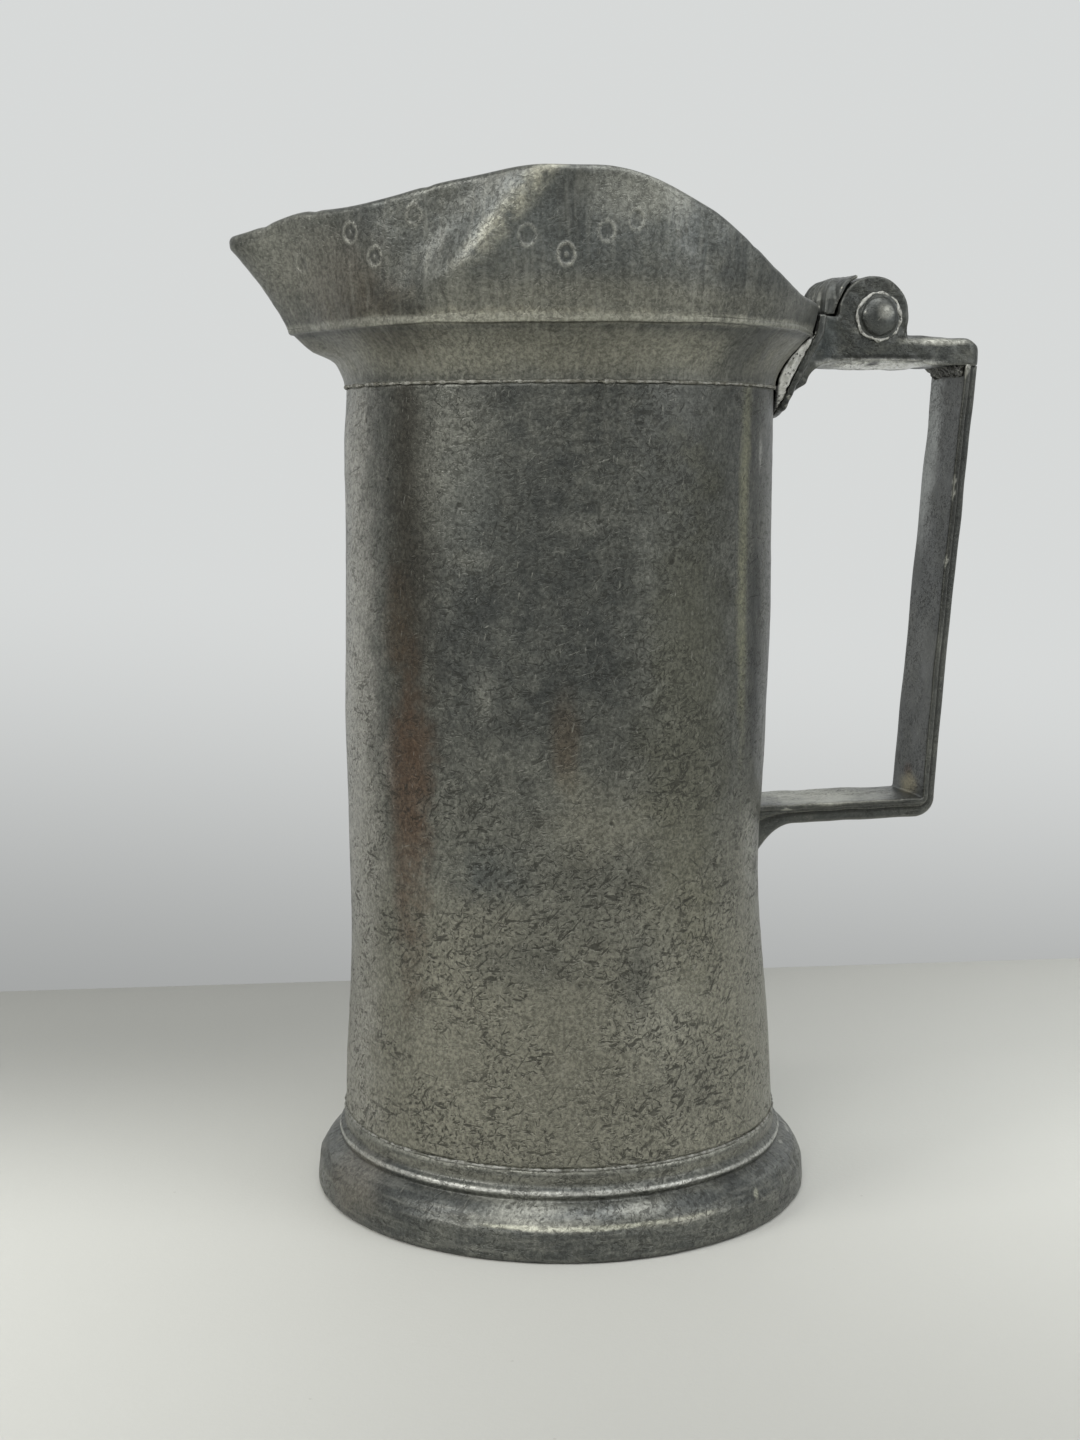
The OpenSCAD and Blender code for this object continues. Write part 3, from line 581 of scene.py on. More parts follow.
class Finish:
    """The nodes of a material, or of the world. add() makes any node from its type, its settings, and the
    values or wires that go to its sockets."""

    def __init__(self, name, holder=None):
        self.holder = holder or bpy.data.materials.new(name)
        self.holder.use_nodes = True
        self.tree = self.holder.node_tree
        self.tree.nodes.clear()
        self.point = self.add("TexCoord", out="Object")

    def add(self, kind, settings=None, links=None, out=0):
        node = self.tree.nodes.new("ShaderNode" + kind)
        for key, value in (settings or {}).items():
            setattr(node, key, value)
        for key, value in (links or {}).items():
            socket = node.inputs[key]
            if isinstance(value, Wire):
                self.tree.links.new(value.socket, socket)
            elif socket.type == "RGBA":
                socket.default_value = (*tuple(value)[:3], 1)
            else:
                socket.default_value = value
        return Wire(self, node.outputs[out]) if node.outputs else node

    def noise(self, scale, detail, rough=0.55, vector=None, warp=0.0):
        return self.add("TexNoise", {}, {
            "Vector": vector or self.point, "Scale": scale, "Detail": detail, "Roughness": rough,
            "Distortion": warp})

    def cells(self, scale):
        """Distance to the nearest of scattered points, in units of their spacing."""
        return self.add("TexVoronoi", {"feature": "F1"}, {"Vector": self.point, "Scale": scale},
                        "Distance")

    def mix(self, share, first, second, how="MIX"):
        return self.add("Mix", {"data_type": "RGBA", "blend_type": how},
                        {0: share, 6: first, 7: second}, 2)

    def mapped(self, vector, turn, scale, how):
        return self.add("Mapping", {"vector_type": how},
                        {"Vector": vector, "Rotation": turn, "Scale": scale})

    def distance(self, centre, radii):
        """Distance from a point, in units of the radii along X, Y and Z."""
        away = self.add("VectorMath", {"operation": "SUBTRACT"}, {0: self.point, 1: centre})
        away = self.add("VectorMath", {"operation": "DIVIDE"}, {0: away, 1: radii})
        return self.add("VectorMath", {"operation": "LENGTH"}, {0: away}, "Value")

    def parts(self):
        """The point's X, Y and Z."""
        x = self.add("SeparateXYZ", {}, {0: self.point})
        return [Wire(self, socket) for socket in x.socket.node.outputs]

    def close(self, colour, rough, height, metal, depth, coat=0.0):
        """Joins the shader, with a bump of the given depth in metres, and gives back the material."""
        normal = self.add("Bump", {}, {"Height": height, "Strength": 1.0, "Distance": depth})
        shader = self.add("BsdfPrincipled", {}, {
            "Base Color": colour, "Roughness": rough, "Metallic": metal, "Normal": normal,
            "Coat Weight": coat, "Coat Roughness": 0.3})
        self.add("OutputMaterial", {}, {"Surface": shader})
        return self.holder


def unrolled(finish, radius):
    """Surface coordinates of a round body: X is the angle about Z from the shown side times the radius, and
    Y is the height, so strokes keep their length and their slant all round."""
    x, y, z = finish.parts()
    angle = x.math("ARCTAN2", x, 0 - y)
    return finish.add("CombineXYZ", {}, {0: angle * radius, 1: z})


# Strokes in the metal: slant in radians, length and width in metres, and the two levels of the noise that
# they fade in between.
DARK_STROKES = [(0.5, 0.0019, 0.0007, 0.61, 0.68)]
DARK_STROKES += [(turn, 0.0018, 0.00065, 0.62, 0.69) for turn in (-0.45, 1.2, -1.25)]
DARK_STROKES += [(turn, 0.004, 0.00115, 0.61, 0.68) for turn in (0.85, -0.1, 0.2)]
LONG_STROKES = [(1.05, 0.02, 0.0006, 0.68, 0.73), (-0.7, 0.015, 0.0006, 0.69, 0.74)]
PALE_STROKES = [(1.45, 0.0026, 0.0006, 0.66, 0.74), (0.3, 0.006, 0.0005, 0.69, 0.76)]

# Punched marks, plain and with a dot: depth, height of the ring, and shares of tarnish and of bare metal.
MARK_KINDS = [(0.8, 0.5, 0.22, 0.36), (1.8, 0.9, 0.42, 0.58)]


def strokes(finish, vector, rows):
    """Short uneven marks: for each row, noise that is stretched along one direction and kept where it is
    high. The strongest row shows."""
    marks = None
    for turn, long, wide, low, high in rows:
        at = finish.mapped(vector, (0.2 * turn, 0.1, turn), (long, wide, wide), "TEXTURE")
        row = finish.noise(1.0, 2, 0.55, at).step(low, high)
        marks = marks.over(row) if marks else row
    return marks


def pewter(name, look, shades, stains_and_painted_light=(), marks=(), body=None, rough=0.38, tarnish=0.5, pits=1.0, rub=0.5,
           warm=None, brushed=0.0, crease=False, grainy=0.95, brush=(90, 800, 1)):
    """Worn pewter. Tarnish and metal, each times its shade, mix by two sizes of noise. Patches of stain and
    of painted light and shade, brush lines, dark strokes in nine directions, pale strokes in two, pits, fine
    grain and rubbed edges go over them, and concave places get painted shade, near black. Dark marks are
    sunk, pale ones stand. The lip's crease gets a painted highlight, a pale streak, with a band of painted
    shade on the spout's side, where the angle from the spout is the crease's start plus its sweep times a
    power of the height's share.
    body is the radius in metres of a round body, which the strokes run round."""
    f = Finish(name)
    dark = tuple(c * shades[0] for c in look.pewter_dark)
    middle = tuple(c * shades[1] for c in look.pewter)
    at = unrolled(f, body) if body else f.point
    large, small = f.noise(24, 3, warp=0.6), f.noise(170, 5, 0.66)
    cloud = (large * 0.5 + small * 0.5).step(0.5 - 0.2 * (1.3 - tarnish), 0.5 + 0.2 * (0.3 + tarnish))
    colour = f.mix(cloud, dark, middle)
    grain, mottle = f.noise(1300, 4, 0.75), f.noise(520, 4, 0.7)
    colour = f.mix(mottle.step(0.5, 0.74) * 0.21 * grainy, colour, look.rubbed)
    colour = f.mix((1 - mottle.step(0.34, 0.5)) * 0.42 * grainy, colour, dark)
    x, y, z = f.parts()
    if warm:
        low, high, share = warm
        colour = f.mix((1 - (z + (large - 0.5) * 0.08).step(low, high)) * share, colour, look.pewter_warm)
    ragged, uneven = (small - 0.5) * 1.3, (large - 0.5) * 0.9
    for centre, radii, tone, share in stains_and_painted_light:
        near = f.distance(centre, radii) + ragged + uneven
        colour = f.mix((1 - near.step(0.2, 1.15)) * share, colour, tone)
    # Painted highlight: a pale streak down the lip's crease, and painted shade in a dark band beside it on
    # the spout's side.
    if crease:
        share = ((z - ARRIS_Z * MM) / (HUMP_H * MM)).over(0.0) ** CREASE_POWER
        off = x.math("ARCTAN2", abs(y), 0 - x) * math.degrees(1) - CREASE_START - share * CREASE_SWEEP
        shade = (1 - abs(off + 13).step(1, 12)) * share.step(0.1, 0.45)
        streak = (1 - abs(off + (large - 0.5) * 8).step(0.4, 5)) * share.step(0.2, 0.75)
        streak = streak * small.step(0.3, 0.6)
        colour = f.mix(streak * 0.5, f.mix(shade * 0.28, colour, dark), (0.56, 0.545, 0.43))
    tint = f.mix(grain.step(0.36, 0.64), (0.62, 0.62, 0.61), (1.34, 1.34, 1.32))
    colour = f.mix(grainy, colour, tint, "MULTIPLY")
    if brushed:
        lines = f.noise(1.0, 4, 0.6, f.mapped(at, (0, 0, 0), brush, "POINT"))
        colour = f.mix(lines.step(0.45, 0.75) * brushed, colour, look.rubbed)
        colour = f.mix((1 - lines.step(0.3, 0.5)) * brushed, colour, dark)
    patch = (f.noise(60, 2) + (f.noise(190, 2) - 0.5) * 0.6).step(0.34, 0.56)
    wear = ((1 - z.step(0.07, 0.15)) * 0.35 + 0.65) * (patch * 0.75 + 0.25) if body else patch
    deep = 1 - (f.cells(150) + (small - 0.5) * 0.3).step(0.02, 0.1)
    sunk = strokes(f, at, DARK_STROKES) * wear
    sunk = sunk.over(strokes(f, at, LONG_STROKES) * 0.8).over(deep) * pits
    colour = f.mix(sunk * 0.66, colour, (0.02, 0.02, 0.016))
    pale = strokes(f, at, PALE_STROKES)
    colour = f.mix(pale * 0.3 * pits, colour, look.rubbed)
    height = 0.45 * grain + 0.9 * small - 0.9 * sunk + 0.3 * pale
    if brushed:
        height = height + lines * brushed
    for centre, radius, dotted in marks:
        sink, stand, dull, bare = MARK_KINDS[dotted]
        away = f.distance(centre, (radius * 0.8, radius, radius)) + (small - 0.5) * 0.5
        ring = (1 - abs(away - 0.84).step(0.02, 0.3)) * grain.step(0.3, 0.6)
        hollow = 1 - away.step(0.5, 0.9)
        height = height - hollow * sink + ring * stand
        colour = f.mix(hollow * dull, colour, look.pewter_dark)
        pale = ring * bare
        if dotted:
            dot = (1 - away.step(0.12, 0.34)) * 0.3
            height, pale = height + dot * 3, pale.over(dot)
        colour = f.mix(pale, colour, look.rubbed)
    point = f.add("NewGeometry", out="Pointiness")
    edge = point.step(0.51, 0.6) * rub
    colour = f.mix(edge * (0.2 + grain), colour, look.rubbed)
    # Painted shade: concave places, such as steps, grooves and crevices, are darkened nearly to black.
    colour = f.mix((1 - point.step(0.43, 0.49)) * 0.85, colour, (0.016, 0.016, 0.013))
    gloss = rough + 0.2 * (small - 0.5) + 0.1 * grain + sunk * 0.25 - edge * 0.1
    return f.close(colour, gloss, height, metal=0.82, depth=0.00016, coat=0.25)


def bare_solder(name, look, shade, rub, pale, metal=0.7, crack=False):
    """Rough solder: pale metal with dark voids, lumps, and grey skin in the hollows. A crack is a line of
    painted shade, near black, where the solder meets the collar, whose radius is a power curve of the height.
    The line lies a little out of that curve and above it."""
    f = Finish(name)
    lump, small = f.noise(620, 5, 0.65), f.noise(2100, 4, 0.7)
    holes = 1 - f.cells(900).step(0.1, 0.32)
    colour = f.mix(lump.step(0.4, 0.62) * pale, shade, look.solder)
    colour = f.mix(holes * 0.7, colour, (0.04, 0.04, 0.035))
    edge = f.add("NewGeometry", out="Pointiness").step(0.51, 0.57) * rub
    colour = f.mix(edge, colour, look.rubbed)
    # Painted shade in the crack between the solder and the collar.
    if crack:
        out, up = 0.3, 0.25
        x, y, z = f.parts()
        share = ((z - (SEAM_Z + up) * MM) / (COLLAR_H * MM)).over(0.0)
        gap = (x * x + y * y) ** 0.5 - (COLLAR_R + out) * MM - share ** COLLAR_POWER * (COLLAR_FLARE * MM)
        gap = gap + (small - 0.5) * 0.0006
        colour = f.mix(1 - gap.step(0.0001, 0.0009), colour, (0.006, 0.006, 0.005))
    return f.close(colour, 0.5 + 0.2 * small, lump + 0.5 * small - holes, metal, depth=0.00025)


def looks():
    """The colours as the user has set them."""
    return bpy.context.scene.measure_finish


def sizes():
    """The sizes as the user has set them."""
    return bpy.context.scene.measure_sizes


def round_point(turn, radius, z):
    """A point on a round body in metres, by its angle in degrees from the spout along the shown side."""
    a = math.pi + math.radians(turn)
    return (radius * math.cos(a) * MM, radius * math.sin(a) * MM, z * MM)


def spot(x, y, z):
    """A point or a size in metres, from mm."""
    return (x * MM, y * MM, z * MM)


def patches_of_stain_and_light(rows, point=round_point):
    """Patches of stain and of painted light and shade, from rows of a place in mm, as point takes it, half
    sizes in mm, tone and share.
    """
    return [(point(*row[:3]), spot(*row[3]), *row[4:]) for row in rows]


class MEASURE_OT_drum(bpy.types.Operator):
    """Builds the dented drum and gives the base plate its finish"""

    bl_idname = "measure.drum"
    bl_label = "Drum"

    def execute(self, context):
        look = looks()
        dark, warm, pale = look.pewter_dark, look.pewter_warm, look.rubbed
        blue, brown = (0.066, 0.076, 0.078), (0.036, 0.029, 0.019)
        stains_and_painted_light = patches_of_stain_and_light([
            (36, 46, 134, (30, 8, 85), brown, 0.7), (36, 46, 92, (30, 6, 40), (0.12, 0.07, 0.043), 0.6),
            (31, 46, 128, (8, 6, 16), look.stain, 0.35), (79, 46, 104, (3.5, 20, 12), look.stain, 0.45),
            (81, 46, 96, (6, 20, 5), warm, 0.35), (88, 46, 87, (16, 20, 9), warm, 0.45),
            (55, 46, 152, (7, 20, 16), blue, 0.7), (60, 46, 78, (12, 20, 7), blue, 0.6),
            # Painted highlight: the pale rows at turns 50 and 55 here and at turn 58 below make a streak down
            # the drum's left part.
            (50, 46, 158, (12, 12, 22), pale, 0.34), (55, 46, 141, (6, 10, 3), pale, 0.3),
            (58, 46, 115, (3.5, 10, 8), pale, 0.22), (82, 46, 148, (8, 10, 3), pale, 0.2),
            (144, 46, 162, (1, 3, 5), (0.62, 0.62, 0.58), 0.45), (66, 46, 142, (30, 30, 40), dark, 0.45),
            (112, 46, 150, (14, 20, 55), dark, 0.9), (52, 46, 124, (8, 20, 14), dark, 0.45),
            (141, 46, 82, (6, 6, 14), pale, 0.35), (134, 46, 140, (3, 3, 55), (0.3, 0.3, 0.2), 0.6),
            (142, 46, 125, (3.5, 5, 40), dark, 0.75), (112, 46, 32, (16, 20, 10), dark, 0.2),
            (104, 46, 46, (14, 20, 12), pale, 0.16), (112, 46, 112, (14, 30, 75), (0.11, 0.108, 0.074), 0.5),
            (98, 46, 58, (6, 20, 12), dark, 0.45), (70, 46, 60, (14, 20, 8), dark, 0.35),
            # Painted reflection: the last row is a pale band down the drum's left edge, where the bright room
            # shows at a grazing angle.
            (10, 47, 100, (20, 15, 130), (0.43, 0.42, 0.38), 0.85)])
        finish = pewter("pewter_drum", look, (1, 1), stains_and_painted_light, body=0.046, warm=(0.045, 0.115, 0.75), rub=0.3)
        place(drum_skin(sizes()), "worn_pewter", finish, "drum")
        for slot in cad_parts["base_plate"].material_slots:
            slot.material = pewter("pewter_plate", look, (1, 0.85), rough=0.45)
        return {"FINISHED"}


class MEASURE_OT_foot(bpy.types.Operator):
    """Builds the foot ring and its solder line"""

    bl_idname = "measure.foot"
    bl_label = "Foot"

    def execute(self, context):
        look = looks()
        dark, warm, pale, glint = look.pewter_dark, look.pewter_warm, look.rubbed, (0.62, 0.62, 0.5)
        stains_and_painted_light = patches_of_stain_and_light([
            # Painted light and shade on the foot: highlights along the bead at 12.8 mm and along the fine
            # line at 16.9 mm, highlights and glints on the arris at turns 78, 84, 106 and 128, highlights on
            # the skirt at turns 70 and 97, a painted reflection in the bluish band at 9.5 mm, and painted
            # shade on the skirt at turn 122.
            (0, 0, 15.2, (600, 600, 1.4), warm, 0.4), (0, 0, 12.8, (600, 600, 0.5), (0.75, 0.75, 0.71), 0.6),
            (0, 0, 16.9, (600, 600, 0.7), pale, 0.6), (84, 54, 7.1, (32, 20, 0.6), glint, 0.7),
            (0, 0, 9.5, (600, 600, 1.6), (0.15, 0.162, 0.165), 0.4), (78, 54, 7.4, (12, 12, 1.2), pale, 0.5),
            (106, 54, 6.8, (14, 12, 1.2), warm, 0.5), (20, 52, 8, (12, 14, 7), (0.3, 0.27, 0.22), 0.45),
            (50, 52, 9, (20, 20, 3), dark, 0.55), (112, 52, 9.5, (16, 16, 2), dark, 0.5),
            (70, 52, 10, (12, 12, 3), pale, 0.5), (97, 52, 9.5, (8, 12, 2), pale, 0.35),
            (122, 52, 9, (10, 10, 5), dark, 0.7), (38, 52, 9, (8, 8, 5), dark, 0.6),
            (128, 54, 7.4, (0.9, 3, 1.4), glint, 0.5)])
        finish = pewter("pewter_foot", look, (1.3, 1.1), stains_and_painted_light, body=0.05, rub=0.9, brushed=0.3, pits=0.65)
        place(foot_skin(sizes()), "dark_pewter", finish, "foot")
        seam = bare_solder("solder_seam", look, (0.12, 0.12, 0.1), rub=0.2, pale=0.35)
        bead = seam_bead("foot_bead", sizes(), radius=48.05, z=17.35, thick=0.34, seed=61)
        place(bead, "solder", seam, "foot_seam")
        return {"FINISHED"}


class MEASURE_OT_bonnet(bpy.types.Operator):
    """Builds the bonnet with its lip and spout, plain punched marks and its solder line"""

    bl_idname = "measure.bonnet"
    bl_label = "Bonnet"

    def execute(self, context):
        look = looks()
        dark, warm, pale = look.pewter_dark, look.pewter_warm, look.rubbed
        marks = []
        # Degrees from the spout, height in mm, and 1 for a mark with a dot.
        for turn, z, dotted in [(78.7, 198.9, 1), (86.5, 203.3, 0), (92.3, 205.5, 0), (71.3, 202.4, 0),
                                (46.3, 207.2, 0), (36.5, 199.8, 1), (30, 204.8, 1), (14, 200, 0)]:
            v = (z - ARRIS_Z) / float(rim_height(np.array(turn)))
            radius = float(lip_radius(np.array(turn), np.array(v), sizes()))
            marks.append((round_point(turn, radius, z), 0.0023, dotted))
        stains_and_painted_light = patches_of_stain_and_light([
            (60, 58, 196, (20, 20, 12), look.pewter, 0.35),
            (90, 55, 205, (60, 50, 11), (0.15, 0.163, 0.162), 0.5),
            (24, 60, 194, (22, 22, 13), (0.2, 0.175, 0.14), 0.5), (0, 0, 181.5, (600, 600, 6), warm, 0.62),
            (127, 50, 182, (12, 12, 9), dark, 0.75), (114, 57, 194, (12, 14, 12), dark, 0.65),
            (118, 56, 190, (6, 10, 5), dark, 0.6), (33, 57, 191, (13, 12, 5), (0.06, 0.05, 0.038), 0.4),
            (38, 54, 186, (14, 14, 10), (0.055, 0.048, 0.036), 0.6), (12, 62, 200, (16, 22, 16), pale, 0.34),
            # Painted highlight: the pale row at turn 93 lights the top of the lip's right side.
            (93, 58, 210, (14, 20, 7), pale, 0.45), (80, 58, 206, (4, 20, 11), dark, 0.5),
            # Painted highlight: the two rows at 187.6 mm light the arris. Painted shade: the row at 186.1 mm
            # darkens the crevice under the arris.
            (72, 54, 187.6, (50, 50, 2.2), warm, 0.8), (0, 0, 187.6, (600, 600, 1.1), pale, 0.55),
            (0, 0, 186.1, (600, 600, 0.6), dark, 0.5), (90, 56, 191, (50, 50, 5), warm, 0.4),
            (46, 54, 189.5, (3, 4, 2), (0.02, 0.02, 0.018), 0.6),
            (53, 54, 192, (1.4, 1.4, 1.4), (0.7, 0.7, 0.62), 0.9)])
        finish = pewter("pewter_bonnet", look, (1.15, 0.95), stains_and_painted_light, marks, body=0.056, tarnish=0.4, rub=0.35,
                        pits=0.55, crease=True, brushed=0.2, brush=(620, 60, 1))
        place(bonnet_skin(sizes()), "worn_pewter", finish, "bonnet")
        seam = bare_solder("solder_collar", look, (0.14, 0.135, 0.11), rub=0.2, pale=0.35)
        bead = seam_bead("collar_bead", sizes(), radius=46.25, z=175.85, thick=0.3, seed=71,
                         drops=[(-91, 0.3)])
        place(bead, "solder", seam, "collar_seam")
        return {"FINISHED"}


class MEASURE_OT_handle(bpy.types.Operator):
    """Builds the upper arm with its saddle and cheeks, the grip, and the solder that holds them"""

    bl_idname = "measure.handle"
    bl_label = "Handle"

    def execute(self, context):
        look, lumps = looks(), sizes()
        pale, shadow = look.rubbed, (0.02, 0.021, 0.02)
        arm = pewter("pewter_arm", look, (1.1, 0.85), patches_of_stain_and_light([
            # Painted reflection: the nearly white row at (70, -5, 181.3) is the table seen in the bellied
            # underside.
            (66, -9, 188.5, (4, 4, 1), pale, 0.4), (70, -5, 181.3, (17, 9, 1.6), (1.0, 1.0, 0.95), 1.0),
            (69, -6, 181.8, (2.2, 4, 0.9), (0.02, 0.02, 0.018), 0.95),
            # Painted highlight: the pale row at (83, -8.5, 186.4) lights the arm's side along its top edge.
            # The rows in the shadow colour are painted shade.
            (71, -9.6, 183, (17, 1.6, 0.7), shadow, 0.8), (83, -8.5, 186.4, (10, 4, 1.1), pale, 0.85),
            (57, -9.4, 187, (6, 3, 6), (0.05, 0.06, 0.062), 0.6)], spot),
            tarnish=0.75, rub=0.9, pits=0.7, grainy=0.7)
        skin = worn_copy("arm_skin", "upper_arm", voxel=0.3, rounds=9, lump=lumps.cast_wander, size=6,
                         seed=81, shape=arm_edges)
        place(skin, "dark_pewter", arm, "upper_arm")
        grip = pewter("pewter_grip", look, (1.05, 0.8), patches_of_stain_and_light([
            (82.5, 1, 89.5, (2, 3, 2.2), (0.09, 0.055, 0.035), 0.8),
            (82.5, -1, 86.5, (2.5, 6, 3.2), (0.32, 0.28, 0.17), 0.8), (68, -9.8, 83, (22, 2, 5), shadow, 0.7),
            (60, 0, 84.5, (19, 20, 1.2), (0.45, 0.45, 0.39), 0.85),
            (88.5, 6, 165, (6, 6, 30), (0.34, 0.35, 0.34), 0.8),
            (86, 4, 130, (6, 8, 12), look.pewter_dark, 0.6),
            (89.5, -9.8, 140, (10, 2.4, 70), shadow, 0.85)], spot),
            rough=0.36, tarnish=0.8, rub=0.9, pits=0.6, grainy=0.6)
        place(grip_skin(), "dark_pewter", grip, "grip")
        bed = bare_solder("solder_saddle", look, (0.62, 0.62, 0.58), rub=0.6, pale=0.8, metal=0.0, crack=True)
        skin = worn_copy("saddle_solder_skin", "saddle_solder", voxel=0.16, rounds=3,
                         lump=lumps.solder_lump * 0.6, size=1.7, seed=83)
        place(skin, "solder", bed, "saddle_solder")
        dull = bare_solder("solder_corner", look, (0.05, 0.05, 0.045), rub=0.3, pale=0.3)
        skin = worn_copy("corner_solder_skin", "grip_solder", voxel=0.16, rounds=3, lump=lumps.solder_lump,
                         size=1.5, seed=84)
        place(skin, "solder", dull, "grip_solder")
        return {"FINISHED"}


class MEASURE_OT_hinge(bpy.types.Operator):
    """Builds the fluted leaf, the pin's two domes and the bare rings round them"""

    bl_idname = "measure.hinge"
    bl_label = "Hinge"

    def execute(self, context):
        look, lumps = looks(), sizes()
        leaf = pewter("pewter_leaf", look, (1, 0.9), rough=0.36, tarnish=0.7, rub=1.0, pits=0.35, grainy=0.35)
        skin = worn_copy("leaf_skin", "hinge_leaf", voxel=0.17, rounds=5, lump=lumps.cast_wander * 0.5,
                         size=4, seed=85)
        place(skin, "dark_pewter", leaf, "hinge_leaf", body="leaf")
        dome = pewter("pewter_dome", look, (1.2, 1.15), patches_of_stain_and_light([
            # Painted highlight: a soft pale patch on the near dome, above its middle and towards the handle.
            (69.8, -11.9, 192.7, (2, 3, 2), look.rubbed, 0.5)], spot),
            rough=0.27, tarnish=0.85, rub=0.4, pits=0.3, grainy=0.3)
        bare = bare_solder("bare_ring", look, (0.34, 0.34, 0.32), rub=0.5, pale=0.5)
        place(pin_dome("dome_near", -1), "dark_pewter", dome, "pin_button_near")
        place(pin_dome("dome_far", 1), "dark_pewter", dome, "pin_button_far")
        place(pin_ring("ring_near", -1, 91), "dark_pewter", bare)
        place(pin_ring("ring_far", 1, 95), "dark_pewter", bare)
        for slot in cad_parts["hinge_pin"].material_slots:
            slot.material = dome
        return {"FINISHED"}


def stage_sheet(name, corners, material):
    """A flat sheet of 24 by 24 faces between four corners, by straight steps along both sides."""
    points = 25
    a, b, c, d = (np.array(corner) for corner in corners)
    s = np.linspace(0, 1, points)[:, None, None]
    t = np.linspace(0, 1, points)[None, :, None]
    co = ((1 - s) * ((1 - t) * a + t * b) + s * ((1 - t) * d + t * c)).reshape(-1, 3)
    index = np.arange(points * points).reshape(points, points)
    faces = np.stack([index[:-1, :-1], index[:-1, 1:], index[1:, 1:], index[1:, :-1]], -1).reshape(-1, 4)
    mesh = bpy.data.meshes.new(name)
    mesh.from_pydata(co.tolist(), [], faces.tolist())
    obj = finished(name, mesh)
    obj.data.materials.append(material)


def table_finish(stage):
    """Pale table with painted shade that darkens it towards the wall and towards the camera, and faint
    specks.
    """
    f = Finish("table")
    far, near = f.distance((-0.08, 0.16, 0), (0.5, 0.2, 1)), f.distance((0, -0.3, 0), (0.3, 0.42, 1))
    speck = f.noise(900, 2, 0.6)
    # Painted shade: the table darkens towards the wall and towards the camera.
    colour = f.mix(1 - far.step(0.1, 0.95), stage.table, tuple(c * 0.52 for c in stage.table))
    colour = f.mix(1 - near.step(0.1, 0.95), colour, tuple(c * 0.58 for c in stage.table))
    colour = f.mix((1 - f.cells(70).step(0.01, 0.03)) * 0.3, colour, (0.3, 0.29, 0.26))
    return f.close(colour, 0.55 + 0.1 * speck, speck, metal=0.0, depth=0.00005)


def wall_finish(stage):
    """Wall that shows its own colour to the camera and to reflections, with painted shade that darkens it
    towards its foot, and is plain matt paint for all other light. From behind it lets everything through."""
    f = Finish("wall")
    x, y, z = f.parts()
    # Painted shade: the darker foot of the wall reaches a little higher on the left.
    left = (1 - (x * 0.98 - y * 0.2).step(-0.3, 0.35)) * 0.05
    colour = f.mix((z - left).step(-0.07, 0.09), tuple(c * 0.52 for c in stage.wall), stage.wall)
    paint = f.add("BsdfDiffuse", {}, {"Color": colour})
    shown = f.add("Emission", {}, {"Color": colour, "Strength": 1.0})
    ray = f.add("LightPath", out="Is Camera Ray")
    glossy = f.add("LightPath", out="Is Glossy Ray")
    front = f.add("MixShader", {}, {0: ray.over(glossy), 1: paint, 2: shown})
    behind = f.add("NewGeometry", out="Backfacing")
    shader = f.add("MixShader", {}, {0: behind, 1: front, 2: f.add("BsdfTransparent")})
    f.add("OutputMaterial", {}, {"Surface": shader})
    return f.holder


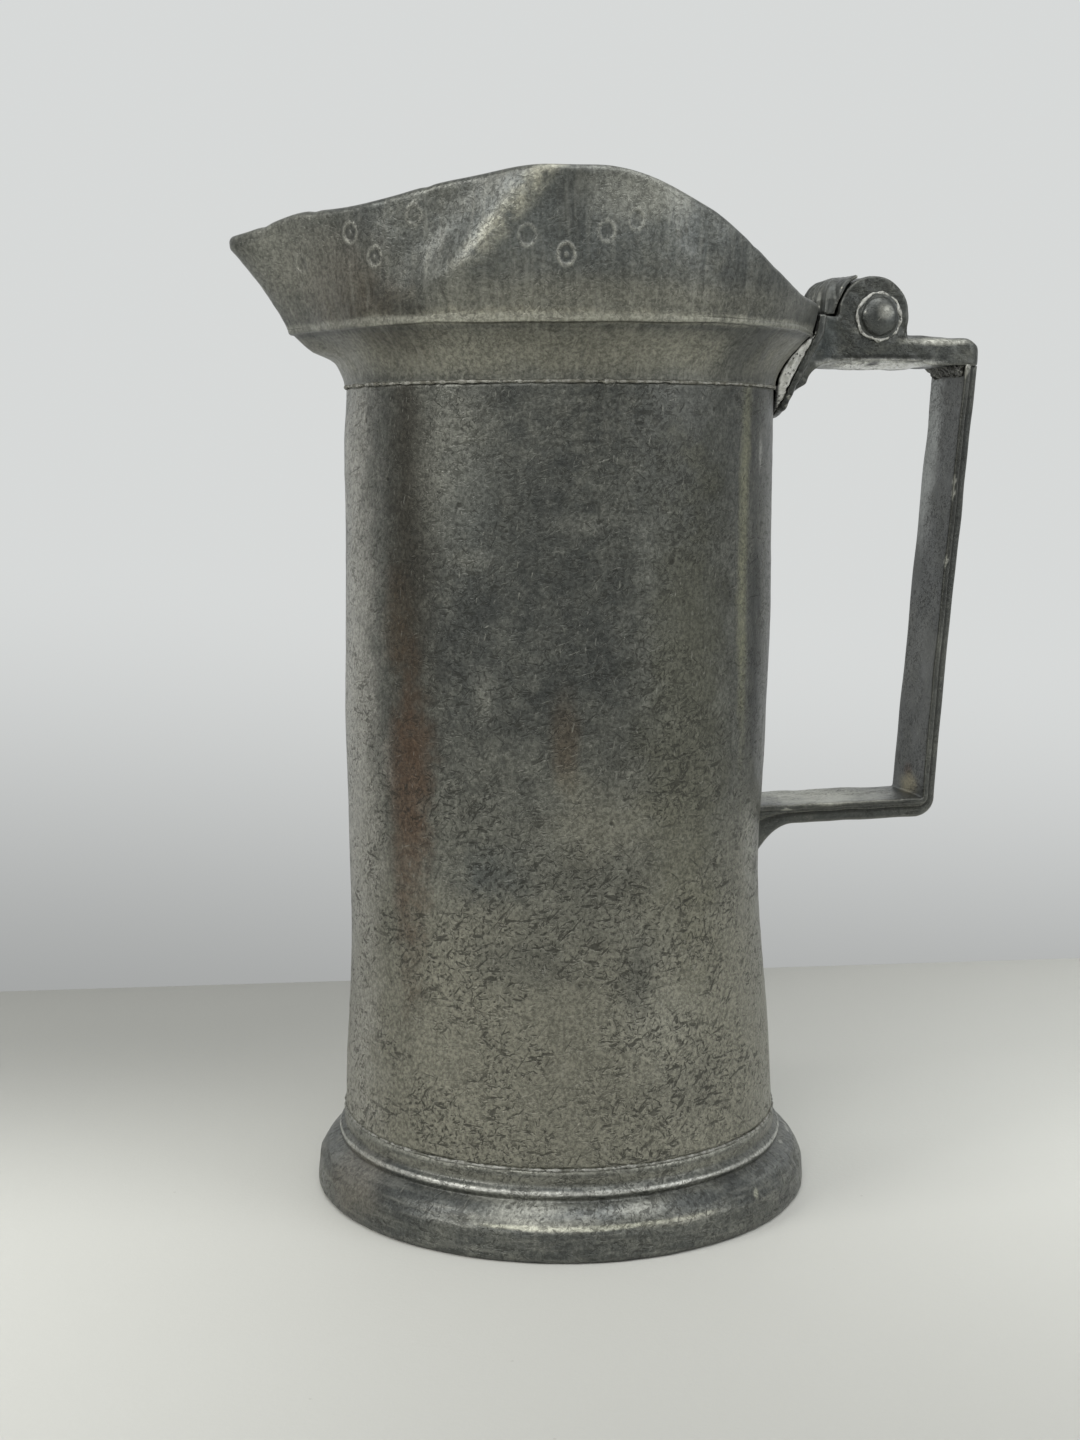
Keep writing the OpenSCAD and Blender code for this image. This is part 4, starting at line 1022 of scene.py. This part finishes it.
class MEASURE_OT_stage(bpy.types.Operator):
    """Sets the camera, the table, the wall, the lamps and the world"""

    bl_idname = "measure.stage"
    bl_label = "Stage"

    def execute(self, context):
        stage, scene = context.scene.measure_stage, context.scene
        c, s = math.cos(stage.yaw), math.sin(stage.yaw)

        def seen(right, away, up):
            """A point by its distance to the right of, behind and above the origin, as the camera sees it."""
            return Vector((right * c + away * s, -right * s + away * c, up))

        lens = bpy.data.cameras.new("camera")
        lens.lens, lens.sensor_width, lens.clip_start = 50, 36, 0.01
        camera = added("camera", lens)
        camera.location = seen(stage.side, -stage.distance, stage.height)
        camera.rotation_euler = (math.pi / 2 - stage.pitch, 0, -stage.yaw)
        scene.camera = camera
        stage_sheet("table", [seen(-1.6, -1.4, 0), seen(1.6, -1.4, 0), seen(1.6, 0.365, 0),
                              seen(-1.6, -0.02, 0)], table_finish(stage))
        stage_sheet("wall", [seen(-0.34, 0.1316, 0), seen(1.6, 0.365, 0), seen(1.6, 0.365, 1.6),
                             seen(-0.34, 0.1316, 1.6)], wall_finish(stage))
        # Each lamp's place and aim as the camera sees them, its size in metres, its watts and its colour.
        for name, at, aim, size, power, tint in [
                ("key", (-0.8, -0.48, 0.72), (0, 0, 0.12), 0.45, 4.8, (1, 0.99, 0.96)),
                ("front", (-0.2, -0.95, 0.7), (0, 0, 0.06), 0.5, 2.2, (1, 0.99, 0.96)),
                ("top", (0.15, -0.2, 1.0), (0, 0, 0.1), 0.8, 5.0, (0.98, 0.99, 1)),
                ("fill", (0.8, -0.4, 0.4), (0, 0, 0.1), 0.5, 2.0, (0.98, 0.99, 1))]:
            lamp = bpy.data.lights.new(name, "AREA")
            lamp.shape, lamp.size, lamp.energy, lamp.color = "SQUARE", size, power, tint
            body = added(name, lamp)
            body.location = seen(*at)
            body.rotation_euler = (seen(*aim) - body.location).to_track_quat("-Z", "Y").to_euler()
        f = Finish("room", bpy.data.worlds.new("room"))
        light = f.add("Background", {}, {"Color": (0.62, 0.63, 0.62), "Strength": 0.5})
        shown = f.add("Background", {}, {"Color": stage.wall})
        ray = f.add("LightPath", out="Is Camera Ray")
        f.add("OutputWorld", {}, {"Surface": f.add("MixShader", {}, {0: ray, 1: light, 2: shown})})
        scene.world = f.holder
        scene.view_settings.view_transform = "Standard"
        return {"FINISHED"}


OPERATORS = (MEASURE_OT_drum, MEASURE_OT_foot, MEASURE_OT_bonnet, MEASURE_OT_handle, MEASURE_OT_hinge,
             MEASURE_OT_stage)


class MEASURE_PT_panel(bpy.types.Panel):
    """Lists the measure's settings and its builders"""

    bl_idname = "MEASURE_PT_panel"
    bl_label = "Pewter measure"
    bl_space_type = "VIEW_3D"
    bl_region_type = "UI"
    bl_category = "Measure"

    def draw(self, context):
        for group in (context.scene.measure_sizes, context.scene.measure_finish, context.scene.measure_stage):
            box = self.layout.box()
            for key in group.__annotations__:
                box.prop(group, key)
        for operator in OPERATORS:
            self.layout.operator(operator.bl_idname)


GROUPS = (("measure_sizes", MeasureSizes), ("measure_finish", MeasureFinish), ("measure_stage", MeasureStage))


def register():
    for name, group in GROUPS:
        bpy.utils.register_class(group)
        setattr(bpy.types.Scene, name, PointerProperty(type=group))
    for cls in (*OPERATORS, MEASURE_PT_panel):
        bpy.utils.register_class(cls)


def unregister():
    for cls in (MEASURE_PT_panel, *OPERATORS[::-1]):
        bpy.utils.unregister_class(cls)
    for name, group in GROUPS[::-1]:
        delattr(bpy.types.Scene, name)
        bpy.utils.unregister_class(group)


def main():
    register()
    for step in ("drum", "foot", "bonnet", "handle", "hinge", "stage"):
        getattr(bpy.ops.measure, step)()


if __name__ == "__main__":
    main()
